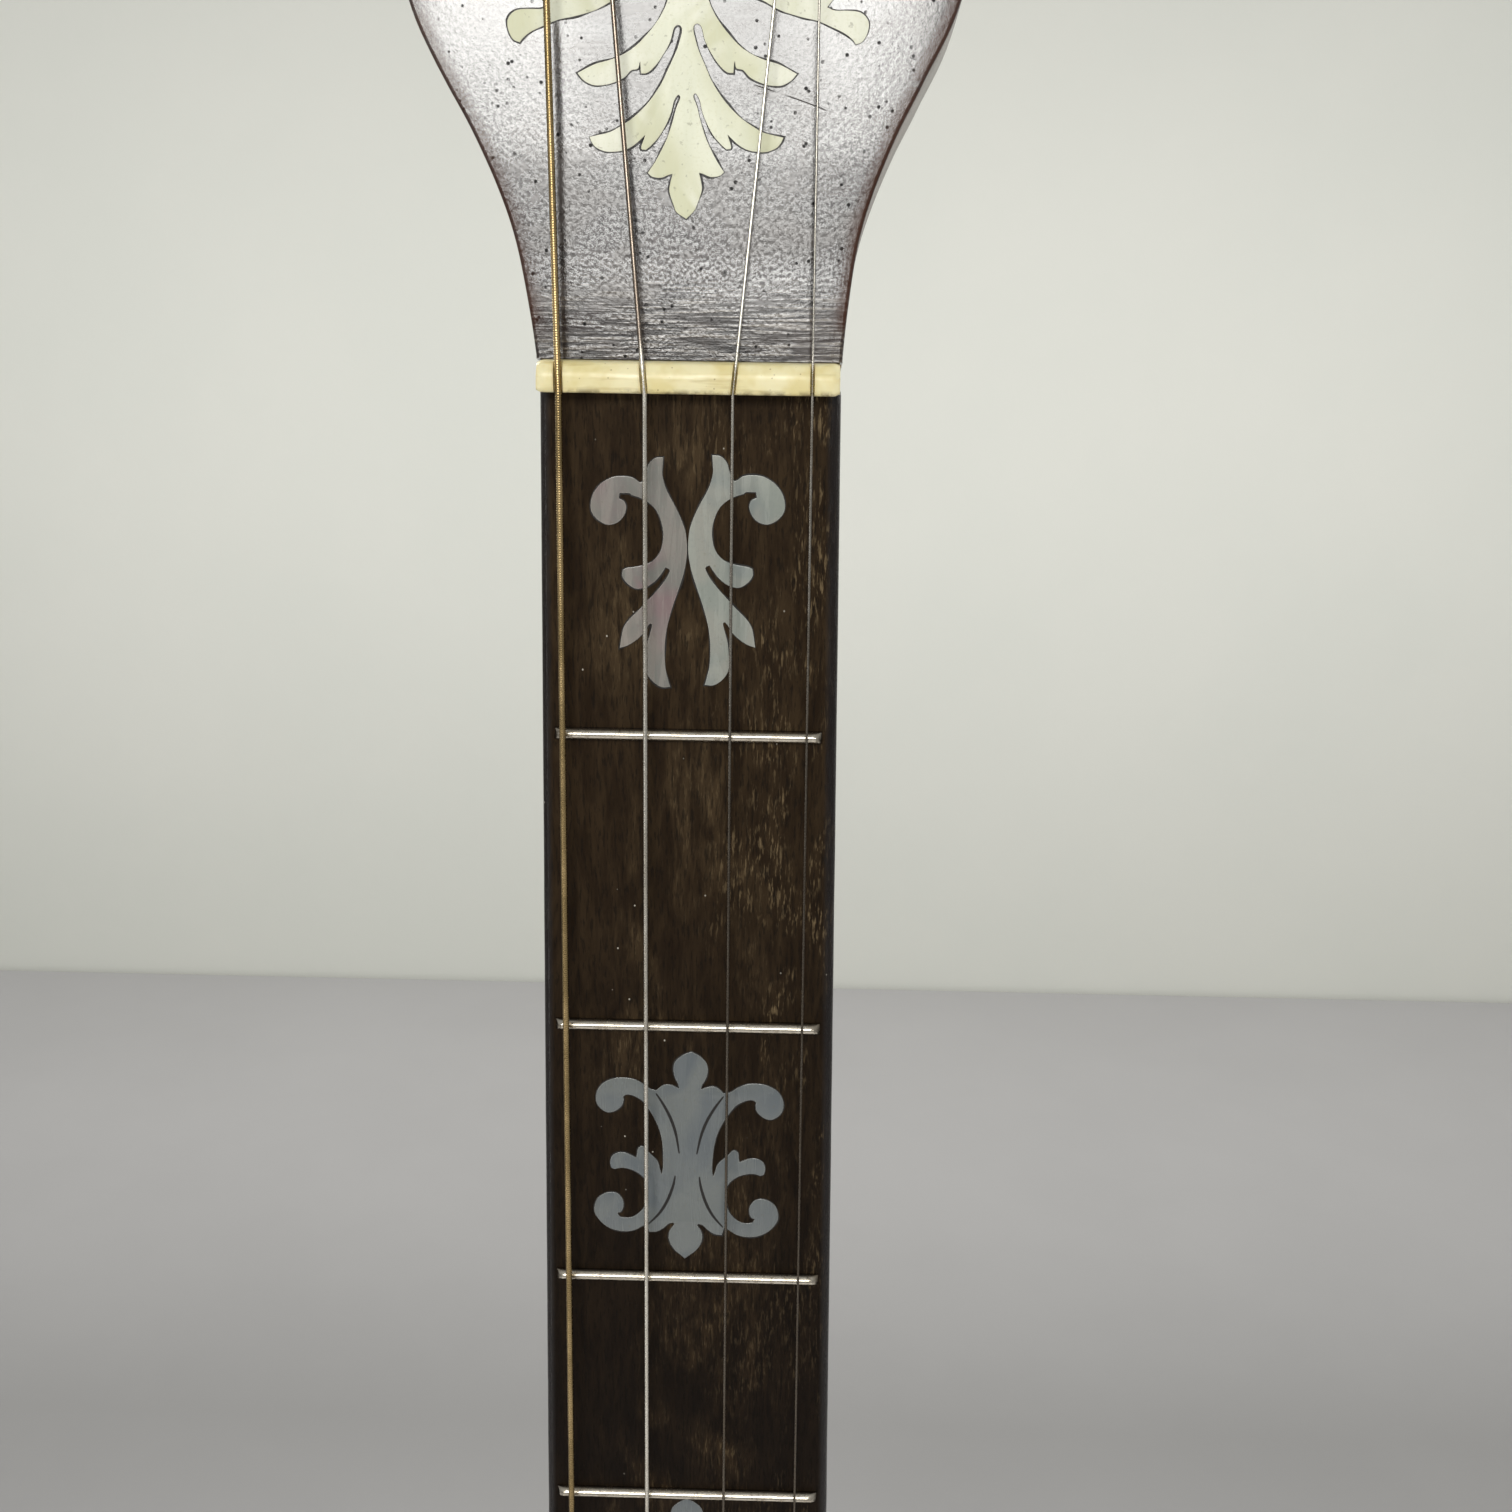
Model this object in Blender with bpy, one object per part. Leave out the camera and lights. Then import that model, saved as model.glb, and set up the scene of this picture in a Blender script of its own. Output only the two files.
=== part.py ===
"""A four-string open-back plectrum banjo, hanging by its headstock.

Metres, +Z up, +X to the viewer's right, and the strings face -Y. The origin is the hanger seat: the
middle of the headstock's thickness, just above the nut, where a wall hanger's two arms hold the flare.
"""

import math

import bmesh
import bpy
from mathutils import Matrix, Vector

# ---- driving dimensions --------------------------------------------------------------------------
SCALE = 0.667  # nut to bridge
FRETS = 22
NECK_WIDTH = 0.03125  # at the nut
NECK_TAPER = 0.0305  # how much wider the neck gets, per metre of its length
BOARD_THICK = 0.005
BOARD_END = 0.488  # nut to the end of the fingerboard
NUT_WIDTH = 0.03175
NUT_THICK = 0.0033
NUT_PROUD = 0.0024  # above the fingerboard
HEAD_ANGLE = math.radians(11)  # how far the headstock leans back
RIM_RADIUS = 0.1397  # an 11 inch pot
RIM_WALL = 0.0127
RIM_BACK = 0.066  # the rim's back face, behind the drum head
HOOP_RADIUS = 0.1472  # outside of the tension hoop
BRIDGE_HEIGHT = 0.0127
HOOKS = 24
STRING_RADII = (0.00038, 0.00026, 0.000165, 0.000135)  # bass on the left
NUT_SLOTS = (-0.0135, -0.0045, 0.0047, 0.0130)
BRIDGE_SPACING = 0.0112
BRIDGE_SHIFT = -0.0006  # the bridge stands a little to the bass side
PEG_HOLES = ((-0.0182, 0.047), (-0.0162, 0.092), (0.0163, 0.092), (0.0156, 0.047))  # x, and up the headstock

# ---- places that follow from them ----------------------------------------------------------------
SEAT_ABOVE_NUT = 0.012
BOARD_TOP_Y = -0.010
NUT_Z = -SEAT_ABOVE_NUT
HEAD_Y = BOARD_TOP_Y + 0.0072  # the drum head's face
POT_Z = NUT_Z - BOARD_END - 0.0005 - HOOP_RADIUS  # the pot's axis, which runs along Y
BRIDGE_DOWN = POT_Z - (NUT_Z - SCALE)  # the bridge, below the pot's axis
FACE_Y = BOARD_TOP_Y + 0.0005  # the headstock's face, where it meets the nut
GAP = 0.0003  # between pieces that touch
FINE_GAP = 0.0001  # the same where the fit is close
RING_STEPS = 56


def frame(name, location, rotation_x=0.0):
    """An empty that pieces are parented to."""
    empty = bpy.data.objects.new(name, None)
    empty.location = location
    empty.rotation_euler.x = rotation_x
    bpy.context.scene.collection.objects.link(empty)
    return empty


def material(name, colour, roughness, metallic=0.0):
    made = bpy.data.materials.new(name)
    made.use_nodes = True
    surface = made.node_tree.nodes["Principled BSDF"]
    surface.inputs["Base Color"].default_value = (*colour, 1.0)
    surface.inputs["Roughness"].default_value = roughness
    surface.inputs["Metallic"].default_value = metallic
    made.diffuse_color = (*colour, 1.0)
    return made


def piece(name, bm, finish, parent=None, sharp_degrees=35):
    """Makes an object of a bmesh, shaded smooth except over its sharp edges."""
    bmesh.ops.recalc_face_normals(bm, faces=bm.faces)
    mesh = bpy.data.meshes.new(name)
    bm.to_mesh(mesh)
    bm.free()
    mesh.shade_smooth()
    mesh.set_sharp_from_angle(angle=math.radians(sharp_degrees))
    if finish:
        mesh.materials.append(finish)
    made = bpy.data.objects.new(name, mesh)
    made.parent = parent
    bpy.context.scene.collection.objects.link(made)
    return made


def boolean(target, tool_bm, operation, parent=None):
    """Cuts the target with, or joins it to, a helper shape that isn't a piece of its own."""
    tool = piece(f"{target.name}_tool", tool_bm, None, parent)
    tool.hide_render = True
    tool.display_type = "WIRE"
    modifier = target.modifiers.new(operation.lower(), "BOOLEAN")
    modifier.operation = operation
    modifier.object = tool
    modifier.solver = "EXACT"


# ---- shapes --------------------------------------------------------------------------------------
def ring_of(bm, points):
    return [bm.verts.new(p) for p in points]


def lofted(bm, rings):
    """A closed solid through rings of as many points each."""
    loops = [ring_of(bm, ring) for ring in rings]
    count = len(loops[0])
    for low, high in zip(loops, loops[1:]):
        for i in range(count):
            j = (i + 1) % count
            bm.faces.new((low[i], low[j], high[j], high[i]))
    bm.faces.new(loops[0])
    bm.faces.new(loops[-1])
    return bm


def turned(bm, profile, steps, centre=(0, 0, 0)):
    """Spins (radius, depth) points about the Y axis through the centre. A profile that starts and ends
    on the axis makes a solid; any other is closed and makes a ring."""
    x, y, z = centre
    line = ring_of(bm, [(x + r, y + d, z) for r, d in profile])
    edges = [bm.edges.new(pair) for pair in zip(line, line[1:])]
    on_axis = profile[0][0] == 0 and profile[-1][0] == 0
    if not on_axis:
        edges.append(bm.edges.new((line[-1], line[0])))
    bmesh.ops.spin(
        bm, geom=edges, cent=centre, axis=(0, 1, 0), angle=math.tau, steps=steps, use_merge=True
    )
    bmesh.ops.remove_doubles(bm, verts=bm.verts, dist=1e-7)
    return bm


def prism(bm, outline, y_front, y_back):
    """An outline of (x, z) points, extruded along Y."""
    base = bm.faces.new(ring_of(bm, [(x, y_front, z) for x, z in outline]))
    top = bmesh.ops.extrude_face_region(bm, geom=[base])["geom"]
    moved = [v for v in top if isinstance(v, bmesh.types.BMVert)]
    bmesh.ops.translate(bm, verts=moved, vec=(0, y_back - y_front, 0))
    return bm


def box(bm, low, high):
    size = [b - a for a, b in zip(low, high)]
    middle = [(a + b) / 2 for a, b in zip(low, high)]
    place = Matrix.Translation(middle) @ Matrix.Diagonal((*size, 1))
    bmesh.ops.create_cube(bm, size=1, matrix=place)
    return bm


def drum(bm, radius, start, end, sides):
    """A plain cylinder between two points."""
    line = Vector(end) - Vector(start)
    turn = Vector((0, 0, 1)).rotation_difference(line).to_matrix().to_4x4()
    place = Matrix.Translation((Vector(start) + Vector(end)) / 2) @ turn
    bmesh.ops.create_cone(
        bm, cap_ends=True, segments=sides, radius1=radius, radius2=radius, depth=line.length, matrix=place
    )
    return bm


def curve_through(points, per_span):
    """A smooth line through 2D points, as Catmull-Rom spans."""
    ends = [points[0], *points, points[-1]]
    line = []
    for a, b, c, d in zip(ends, ends[1:], ends[2:], ends[3:]):
        for k in range(per_span):
            t = k / per_span
            line.append(
                tuple(
                    0.5 * (2 * q + (r - p) * t + (2 * p - 5 * q + 4 * r - s) * t**2 + (3 * q - p - 3 * r + s) * t**3)
                    for p, q, r, s in zip(a, b, c, d)
                )
            )
    return [*line, points[-1]]


def arc(centre, radius, start_degrees, end_degrees, steps):
    cx, cy = centre
    angles = (start_degrees + (end_degrees - start_degrees) * k / steps for k in range(steps + 1))
    return [(cx + radius * math.cos(math.radians(a)), cy + radius * math.sin(math.radians(a))) for a in angles]


def fret_place(number):
    return SCALE * (1 - 2 ** (-number / 12))


def width_at(down):
    return NECK_WIDTH + NECK_TAPER * down


# ---- neck ----------------------------------------------------------------------------------------
NECK_TOP = BOARD_THICK + FINE_GAP  # the neck's flat, behind the fingerboard's face
HEADSTOCK_THICK = 0.014
OVERLAY_THICK = 0.002
HEADSTOCK_SHIFT = (-0.0011, 0.030)  # it stands this far to the bass side, from this height up
# Half of the headstock's outline: half width, and height above the nut's back edge.
HEADSTOCK_EDGE = (
    (0.0158, 0.000), (0.0164, 0.005), (0.0177, 0.012), (0.0196, 0.0175), (0.0222, 0.0235), (0.0251, 0.029),
    (0.0282, 0.0355), (0.0301, 0.043), (0.0304, 0.051), (0.0291, 0.060), (0.0277, 0.069), (0.0275, 0.078),
    (0.0291, 0.088), (0.0318, 0.097), (0.0337, 0.106), (0.0332, 0.114), (0.0296, 0.1195), (0.0242, 0.1210),
    (0.0190, 0.1208), (0.0140, 0.1235), (0.0090, 0.1300), (0.0040, 0.1355), (0.0000, 0.1370),
)  # fmt: skip
# Down from the nut, the flat's depth behind the board's face, the section's width and depth, and how
# narrow its back is (1 is an ellipse).
NECK_STATIONS = (
    (-0.0240, 0.0090, 0.0270, 0.0096, 0.90),
    (-0.0130, 0.0070, 0.0305, 0.0118, 0.85),
    (-NUT_THICK, NECK_TOP, width_at(0), 0.0149, 0.80),
    (0.0100, NECK_TOP, width_at(0.010), 0.0146, 0.80),
    (0.1200, NECK_TOP, width_at(0.120), 0.0155, 0.80),
    (0.2500, NECK_TOP, width_at(0.250), 0.0168, 0.80),
    (0.3800, NECK_TOP, width_at(0.380), 0.0185, 0.80),
    (0.4200, NECK_TOP, width_at(0.420), 0.0200, 0.85),
    (0.4400, NECK_TOP, width_at(0.436), 0.0240, 0.95),
    (0.4560, NECK_TOP, width_at(0.448), 0.0330, 1.10),
    (0.4700, NECK_TOP, width_at(0.456), 0.0440, 1.25),
    (0.4820, NECK_TOP, width_at(0.460), 0.0525, 1.35),
    (0.4930, NECK_TOP, width_at(0.462), 0.0558, 1.35),
    (0.5150, NECK_TOP, width_at(0.462), 0.0560, 1.35),
)
SECTION_STEPS = 14
DOWEL_DEPTH = 0.038  # the dowel stick's axis, behind the drum head
DOWEL_HALF = (0.0090, 0.0120)  # across, and front to back, at the heel
DOWEL_TAIL_HALF = (0.0080, 0.0100)
TENON_RADIUS, TENON_LENGTH = 0.0075, 0.014
BAND_RADIUS = RIM_RADIUS + 0.0016
BAND_SPAN = (0.033, 0.045)  # front to back, behind the drum head


def headstock_outline():
    half = curve_through(HEADSTOCK_EDGE, 2)
    outline = half + [(-x, z) for x, z in reversed(half[:-1])]
    shift, full_at = HEADSTOCK_SHIFT
    return [(x + shift * min(1.0, z / full_at), z) for x, z in outline]


def neck_section(down, top, width, depth, narrow):
    """The flat side and the round back of the neck, in one ring."""
    ring = []
    for k in range(SECTION_STEPS + 1):
        angle = math.pi * k / SECTION_STEPS
        across = math.copysign(abs(math.cos(angle)) ** narrow, math.cos(angle))
        back = math.sin(angle) ** 0.92 if 0 < k < SECTION_STEPS else 0.0
        ring.append((width / 2 * across, BOARD_TOP_Y + top + depth * back, NUT_Z - down))
    return ring


def peg_hole_tool(y_front, y_back):
    bm = bmesh.new()
    for x, up in PEG_HOLES:
        drum(bm, 0.0053, (x, y_front, up), (x, y_back, up), 20)
    return bm


def pot_point(angle, radius, depth):
    """A point round the pot: the angle is measured from the neck, towards +X."""
    return Vector((radius * math.sin(angle), HEAD_Y + depth, POT_Z + radius * math.cos(angle)))


def make_neck(wood, headstock_frame):
    bm = bmesh.new()
    lofted(bm, [neck_section(*station) for station in NECK_STATIONS])
    neck = piece("neck", bm, wood)
    core = bmesh.new()
    outline = [(x, z + FINE_GAP) for x, z in headstock_outline()]
    prism(core, outline, OVERLAY_THICK + FINE_GAP, HEADSTOCK_THICK)
    boolean(neck, core, "UNION", headstock_frame)
    boolean(neck, peg_hole_tool(-0.005, 0.030), "DIFFERENCE", headstock_frame)
    shelf = bmesh.new()
    nut_back = NUT_Z + NUT_THICK + FINE_GAP
    box(shelf, (-0.03, BOARD_TOP_Y - 0.01, NUT_Z - 0.001), (0.03, BOARD_TOP_Y + NECK_TOP, nut_back))
    boolean(neck, shelf, "DIFFERENCE")
    # The heel is cut to the pot: it clears the tension hoop in front, and the bracket band behind.
    heel_tool = bmesh.new()
    near, far = RIM_RADIUS + GAP, BAND_RADIUS + GAP
    steps = (
        (0, -0.030), (HOOP_RADIUS + GAP, -0.030), (HOOP_RADIUS + GAP, 0.0155), (near, 0.0155),
        (near, BAND_SPAN[0] - GAP), (far, BAND_SPAN[0] - GAP), (far, BAND_SPAN[1] + GAP),
        (near, BAND_SPAN[1] + GAP), (near, 0.080), (0, 0.080),
    )  # fmt: skip
    turned(heel_tool, steps, 96, (0, HEAD_Y, POT_Z))
    boolean(neck, heel_tool, "DIFFERENCE")
    socket = bmesh.new()
    rim_top = POT_Z + RIM_RADIUS
    axis_y = HEAD_Y + DOWEL_DEPTH
    top = rim_top + TENON_LENGTH + GAP
    drum(socket, TENON_RADIUS + GAP, (0, axis_y, rim_top - 0.002), (0, axis_y, top), 20)
    boolean(neck, socket, "DIFFERENCE")
    return neck


def make_overlay(ebonised, headstock_frame):
    bm = bmesh.new()
    foot = OVERLAY_THICK * math.tan(HEAD_ANGLE) + FINE_GAP  # its lower edge clears the nut
    outline = [(x, max(z, foot)) for x, z in headstock_outline()]
    prism(bm, outline, 0, OVERLAY_THICK)
    overlay = piece("headstock_overlay", bm, ebonised, headstock_frame)
    boolean(overlay, peg_hole_tool(-0.005, 0.006), "DIFFERENCE", headstock_frame)


FRET_WIDTH, FRET_HEIGHT, FRET_INSET = 0.0014, 0.0010, 0.0012


def make_fingerboard(ebonised):
    """The board, with the frets pressed into it."""
    edge = 0.0008
    rings = []
    for down in (0.0, BOARD_END):
        half = width_at(down) / 2
        z = NUT_Z - down
        rings.append(
            [
                (-half, BOARD_TOP_Y + BOARD_THICK, z), (half, BOARD_TOP_Y + BOARD_THICK, z),
                (half, BOARD_TOP_Y + edge, z), (half - edge, BOARD_TOP_Y, z),
                (edge - half, BOARD_TOP_Y, z), (-half, BOARD_TOP_Y + edge, z),
            ]
        )  # fmt: skip
    bm = bmesh.new()
    lofted(bm, rings)
    board = piece("fingerboard", bm, ebonised)
    frets = bmesh.new()
    crown = ((-0.5, -0.5), (-0.5, 0.35), (-0.2, 0.95), (0.2, 0.95), (0.5, 0.35), (0.5, -0.5))
    for number in range(1, FRETS + 1):
        down = fret_place(number)
        half = width_at(down) / 2 - FRET_INSET
        rings = []
        for side in (-1, 1):
            rings.append(
                [
                    (
                        side * (half - max(0.0, rise) * 0.0006),
                        BOARD_TOP_Y - rise * FRET_HEIGHT,
                        NUT_Z - down + across * FRET_WIDTH,
                    )
                    for across, rise in crown
                ]
            )
        lofted(frets, rings)
    boolean(board, frets, "UNION")


def make_nut(bone):
    half = NUT_WIDTH / 2
    bottom, top = BOARD_TOP_Y + BOARD_THICK, BOARD_TOP_Y - NUT_PROUD
    front, back = NUT_Z + FINE_GAP, NUT_Z + NUT_THICK
    side = (
        (bottom, front), (top + 0.0004, front), (top, front + 0.0005), (top + 0.0002, back - 0.0012),
        (top + 0.0010, back - 0.0002), (top + 0.0016, back), (bottom, back),
    )  # fmt: skip
    bm = bmesh.new()
    lofted(bm, [[(x, y, z) for y, z in side] for x in (-half, half)])
    nut = piece("nut", bm, bone)
    slots = bmesh.new()
    for number, radius in enumerate(STRING_RADII):
        width = radius + FINE_GAP
        seat = nut_string_y(radius) + radius + FINE_GAP
        x = NUT_SLOTS[number]
        first = string_wraps(number)[0]
        lean = (first.x - x) / (first.z - NUT_Z)  # towards its tuner
        rings = []
        for z in (NUT_Z - 0.001, NUT_Z + NUT_THICK + 0.001):
            middle = x + lean * max(0.0, z - NUT_Z)
            drop = 0.25 * max(0.0, z - NUT_Z)
            rings.append(
                [
                    (middle - width, top - 0.002, z), (middle + width, top - 0.002, z),
                    (middle + width, seat + drop, z), (middle - width, seat + drop, z),
                ]
            )  # fmt: skip
        lofted(slots, rings)
    boolean(nut, slots, "DIFFERENCE")


def make_dowel_stick(maple):
    """The stick that runs from the heel, through the rim, to the tail."""
    axis_y = HEAD_Y + DOWEL_DEPTH
    heel_z = POT_Z + RIM_RADIUS
    tail_z = POT_Z - RIM_RADIUS + RIM_WALL + GAP + 0.0006
    rings = []
    for z, (half_x, half_y) in ((heel_z - 0.0005, DOWEL_HALF), (tail_z, DOWEL_TAIL_HALF)):
        cut = 0.0022  # the long corners are taken off
        corners = (
            (half_x, half_y - cut), (half_x - cut, half_y), (cut - half_x, half_y), (-half_x, half_y - cut),
            (-half_x, cut - half_y), (cut - half_x, -half_y), (half_x - cut, -half_y), (half_x, cut - half_y),
        )  # fmt: skip
        rings.append([(x, axis_y + y, z) for x, y in corners])
    bm = bmesh.new()
    lofted(bm, rings)
    stick = piece("dowel_stick", bm, maple)
    tenon = bmesh.new()
    drum(tenon, TENON_RADIUS, (0, axis_y, heel_z - 0.003), (0, axis_y, heel_z + TENON_LENGTH), 16)
    boolean(stick, tenon, "UNION")
    bore = bmesh.new()
    drum(bore, 0.0033, (0, axis_y, tail_z - 0.002), (0, axis_y, tail_z + 0.022), 16)
    boolean(stick, bore, "DIFFERENCE")


# ---- pot -----------------------------------------------------------------------------------------
TONE_RING_RADIUS = 0.0030
TONE_RING_AT = (RIM_RADIUS - TONE_RING_RADIUS - 0.0001, 0.0036)
HEAD_THICK = 0.00035
COLLAR_RADIUS = RIM_RADIUS + GAP
HOOK_CIRCLE = 0.1506
SHOE_SPAN = (0.0345, 0.0425)


def dowel_hole(extra=GAP):
    """The opening that the dowel stick goes through, on the neck's side of the pot."""
    half_x, half_y = DOWEL_HALF[0] + extra, DOWEL_HALF[1] + extra
    y = HEAD_Y + DOWEL_DEPTH
    z = POT_Z + RIM_RADIUS
    return box(bmesh.new(), (-half_x, y - half_y, z - 0.030), (half_x, y + half_y, z + 0.010))


def end_bolt_hole():
    y = HEAD_Y + DOWEL_DEPTH
    z = POT_Z - RIM_RADIUS
    return drum(bmesh.new(), 0.0034, (0, y, z - 0.012), (0, y, z + 0.030), 16)


def make_rim(maple):
    inner = RIM_RADIUS - RIM_WALL
    top = TONE_RING_AT[1] + TONE_RING_RADIUS + 0.0002
    profile = ((inner, top), (RIM_RADIUS, top), (RIM_RADIUS, RIM_BACK), (inner, RIM_BACK))
    bm = bmesh.new()
    turned(bm, profile, RING_STEPS, (0, HEAD_Y, POT_Z))
    rim = piece("rim", bm, maple)
    boolean(rim, dowel_hole(), "DIFFERENCE")
    boolean(rim, end_bolt_hole(), "DIFFERENCE")


def make_tone_ring(brass):
    bm = bmesh.new()
    turned(bm, arc(TONE_RING_AT, TONE_RING_RADIUS, 0, 315, 7), RING_STEPS, (0, HEAD_Y, POT_Z))
    piece("tone_ring", bm, brass)


def make_head(skin):
    """The drum head, drawn over the tone ring and down the outside of the rim."""
    over, down = TONE_RING_AT
    collar_end = 0.012
    rise = down - HEAD_THICK  # from the tone ring's centre to the head's inner face
    profile = [(0, 0), (over, 0)]
    for angle in (60, 30):
        a = math.radians(angle)
        reach = COLLAR_RADIUS + HEAD_THICK - over
        profile.append((over + reach * math.cos(a), down * (1 - math.sin(a))))
    profile += [(COLLAR_RADIUS + HEAD_THICK, down), (COLLAR_RADIUS + HEAD_THICK, collar_end)]
    profile += [(COLLAR_RADIUS, collar_end), (COLLAR_RADIUS, down)]
    for angle in (30, 60):
        a = math.radians(angle)
        profile.append((over + (COLLAR_RADIUS - over) * math.cos(a), down - rise * math.sin(a)))
    profile += [(over, HEAD_THICK), (0, HEAD_THICK)]
    bm = bmesh.new()
    turned(bm, profile, RING_STEPS, (0, HEAD_Y, POT_Z))
    piece("head", bm, skin)


def make_hoops(plated):
    flesh = ((0.14065, 0.0090), (0.1442, 0.0090), (0.1442, 0.0130), (0.14065, 0.0130))
    bm = bmesh.new()
    turned(bm, flesh, RING_STEPS, (0, HEAD_Y, POT_Z))
    piece("flesh_hoop", bm, plated)
    # The tension hoop: a groove for the hooks in front, and a shoulder that bears on the flesh hoop.
    groove_in, groove_out, floor = 0.1422, 0.1450, 0.0042
    tension = (
        (0.1409, 0.0020), (groove_in, 0.0020), (groove_in, floor), (groove_out, floor), (groove_out, 0.0020),
        (HOOP_RADIUS, 0.0020), (HOOP_RADIUS, 0.0150), (0.1446, 0.0150), (0.1446, 0.0087), (0.1409, 0.0087),
    )  # fmt: skip
    bm = bmesh.new()
    turned(bm, tension, RING_STEPS, (0, HEAD_Y, POT_Z))
    piece("tension_hoop", bm, plated)


def hook_angles():
    """Even round the pot, but for a wider gap that the neck passes through."""
    first = math.radians(11)
    step = (math.tau - 2 * first) / (HOOKS - 1)
    return [first + step * k for k in range(HOOKS)]


def turned_to(angle):
    """Carries a shape made at the neck's side of the pot round to the angle."""
    axis = Vector((0, HEAD_Y, POT_Z))
    return Matrix.Translation(axis) @ Matrix.Rotation(angle, 4, "Y") @ Matrix.Translation(-axis)


def make_bracket_band(plated):
    """A band round the rim, with a shoe for each hook."""
    front, back = BAND_SPAN
    inner = RIM_RADIUS + GAP
    bm = bmesh.new()
    profile = ((inner, front), (BAND_RADIUS, front), (BAND_RADIUS, back), (inner, back))
    turned(bm, profile, RING_STEPS, (0, HEAD_Y, POT_Z))
    band = piece("bracket_band", bm, plated)
    half, root = 0.0045, BAND_RADIUS - 0.0008
    shoes, holes = bmesh.new(), bmesh.new()
    nose = arc((0, POT_Z + HOOK_CIRCLE), half, 0, 180, 5)
    outline = [(half, POT_Z + root), *nose, (-half, POT_Z + root)]
    for angle in hook_angles():
        shoe = prism(bmesh.new(), outline, HEAD_Y + SHOE_SPAN[0], HEAD_Y + SHOE_SPAN[1])
        shoe.transform(turned_to(angle))
        add_to(shoes, shoe)
        drum(holes, 0.0023, pot_point(angle, HOOK_CIRCLE, 0.030), pot_point(angle, HOOK_CIRCLE, 0.048), 8)
    boolean(band, shoes, "UNION")
    boolean(band, holes, "DIFFERENCE")
    boolean(band, dowel_hole(), "DIFFERENCE")
    boolean(band, end_bolt_hole(), "DIFFERENCE")


def add_to(bm, other):
    """Moves one bmesh's geometry into another."""
    mesh = bpy.data.meshes.new("part")
    bmesh.ops.recalc_face_normals(other, faces=other.faces)
    other.to_mesh(mesh)
    other.free()
    bm.from_mesh(mesh)
    bpy.data.meshes.remove(mesh)


# A hook's centre line in (radius, depth), with the rod's radius there: claw, bend, shank.
HOOK_LINE = (
    (0.1436, 0.0036, 0.0009), (0.1436, 0.0016, 0.0010), (0.1443, 0.0006, 0.0010), (0.1472, 0.0004, 0.0011),
    (0.1494, 0.0008, 0.0014), (HOOK_CIRCLE, 0.0030, 0.0016), (HOOK_CIRCLE, 0.0540, 0.0016),
)  # fmt: skip
HOOK_SIDES = 6
HEX_NUT = (0.0036, 0.0428, 0.0520)  # circumradius, front and back


def make_hooks(plated):
    """J-hooks that draw the hoop down, each with its hexagon nut run up under the shoe."""
    for number, angle in enumerate(hook_angles(), 1):
        rings = []
        for k, (radius, depth, thick) in enumerate(HOOK_LINE):
            before = HOOK_LINE[max(0, k - 1)]
            after = HOOK_LINE[min(len(HOOK_LINE) - 1, k + 1)]
            along = Vector((0, after[1] - before[1], after[0] - before[0])).normalized()
            across = Vector((1, 0, 0))
            out = along.cross(across)
            centre = Vector((0, HEAD_Y + depth, POT_Z + radius))
            turns = [math.tau * (n + 0.5) / HOOK_SIDES for n in range(HOOK_SIDES)]
            rings.append([centre + thick * (math.cos(t) * across + math.sin(t) * out) for t in turns])
        bm = lofted(bmesh.new(), rings)
        bm.transform(turned_to(angle))
        hook = piece(f"hook_{number:02d}", bm, plated)
        nut = bmesh.new()
        circumradius, front, back = HEX_NUT
        drum(nut, circumradius, pot_point(angle, HOOK_CIRCLE, front), pot_point(angle, HOOK_CIRCLE, back), 6)
        boolean(hook, nut, "UNION")


def make_neck_brace(plated):
    """A plate across the rim's inside that clamps the dowel stick, and its thumb screw."""
    axis_y = HEAD_Y + DOWEL_DEPTH
    half_x, half_y, thick = 0.028, 0.016, 0.003
    inner = RIM_RADIUS - RIM_WALL
    back_z = POT_Z + math.sqrt(inner**2 - half_x**2) - 0.0006
    bm = bmesh.new()
    box(bm, (-half_x, axis_y - half_y, back_z - thick), (half_x, axis_y + half_y, back_z))
    brace = piece("neck_brace", bm, plated)
    boss = bmesh.new()
    boss_back = axis_y + DOWEL_HALF[1] + 0.007
    box(boss, (-0.005, axis_y + DOWEL_HALF[1] + 0.001, back_z - 0.010), (0.005, boss_back, back_z - 0.001))
    boolean(brace, boss, "UNION")
    boolean(brace, dowel_hole(), "DIFFERENCE")
    screw_z = back_z - 0.0062
    hole = bmesh.new()
    drum(hole, 0.0018, (0, axis_y + 0.010, screw_z), (0, boss_back + 0.005, screw_z), 16)
    boolean(brace, hole, "DIFFERENCE")
    tip = axis_y + DOWEL_HALF[1] + GAP
    profile = (
        (0, tip), (0.0012, tip), (0.0015, tip + 0.0005), (0.0015, boss_back + 0.0008), (0.0035, boss_back + 0.0012),
        (0.0042, boss_back + 0.0020), (0.0042, boss_back + 0.0042), (0.0036, boss_back + 0.0048),
        (0, boss_back + 0.0048),
    )  # fmt: skip
    holder = frame("brace_screw_axis", (0, 0, screw_z))
    bm = bmesh.new()
    turned(bm, profile, 16)
    piece("brace_screw", bm, plated, holder)


# ---- tail ----------------------------------------------------------------------------------------
PLATE_FRONT, PLATE_BACK = 0.100, 0.157  # below the pot's axis
PLATE_FACE, PLATE_THICK, PLATE_HALF = -0.0080, 0.0014, 0.0145
PIN_DOWN, PIN_RADIUS, PIN_TOP = 0.113, 0.0009, -0.0112
LID_HINGE_DOWN, LID_HINGE_DEPTH = 0.1330, -0.0103
LID_FRONT, LID_FACE, LID_THICK, LID_HALF = 0.1035, -0.0128, 0.0008, 0.0140
SCREW_DOWN = 0.1440
HANGER_DOWN = 0.1530
STRAP_DOWN = (BAND_RADIUS + GAP, BAND_RADIUS + GAP + 0.002)
LIP_SPAN = (0.024, 0.026)


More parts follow.
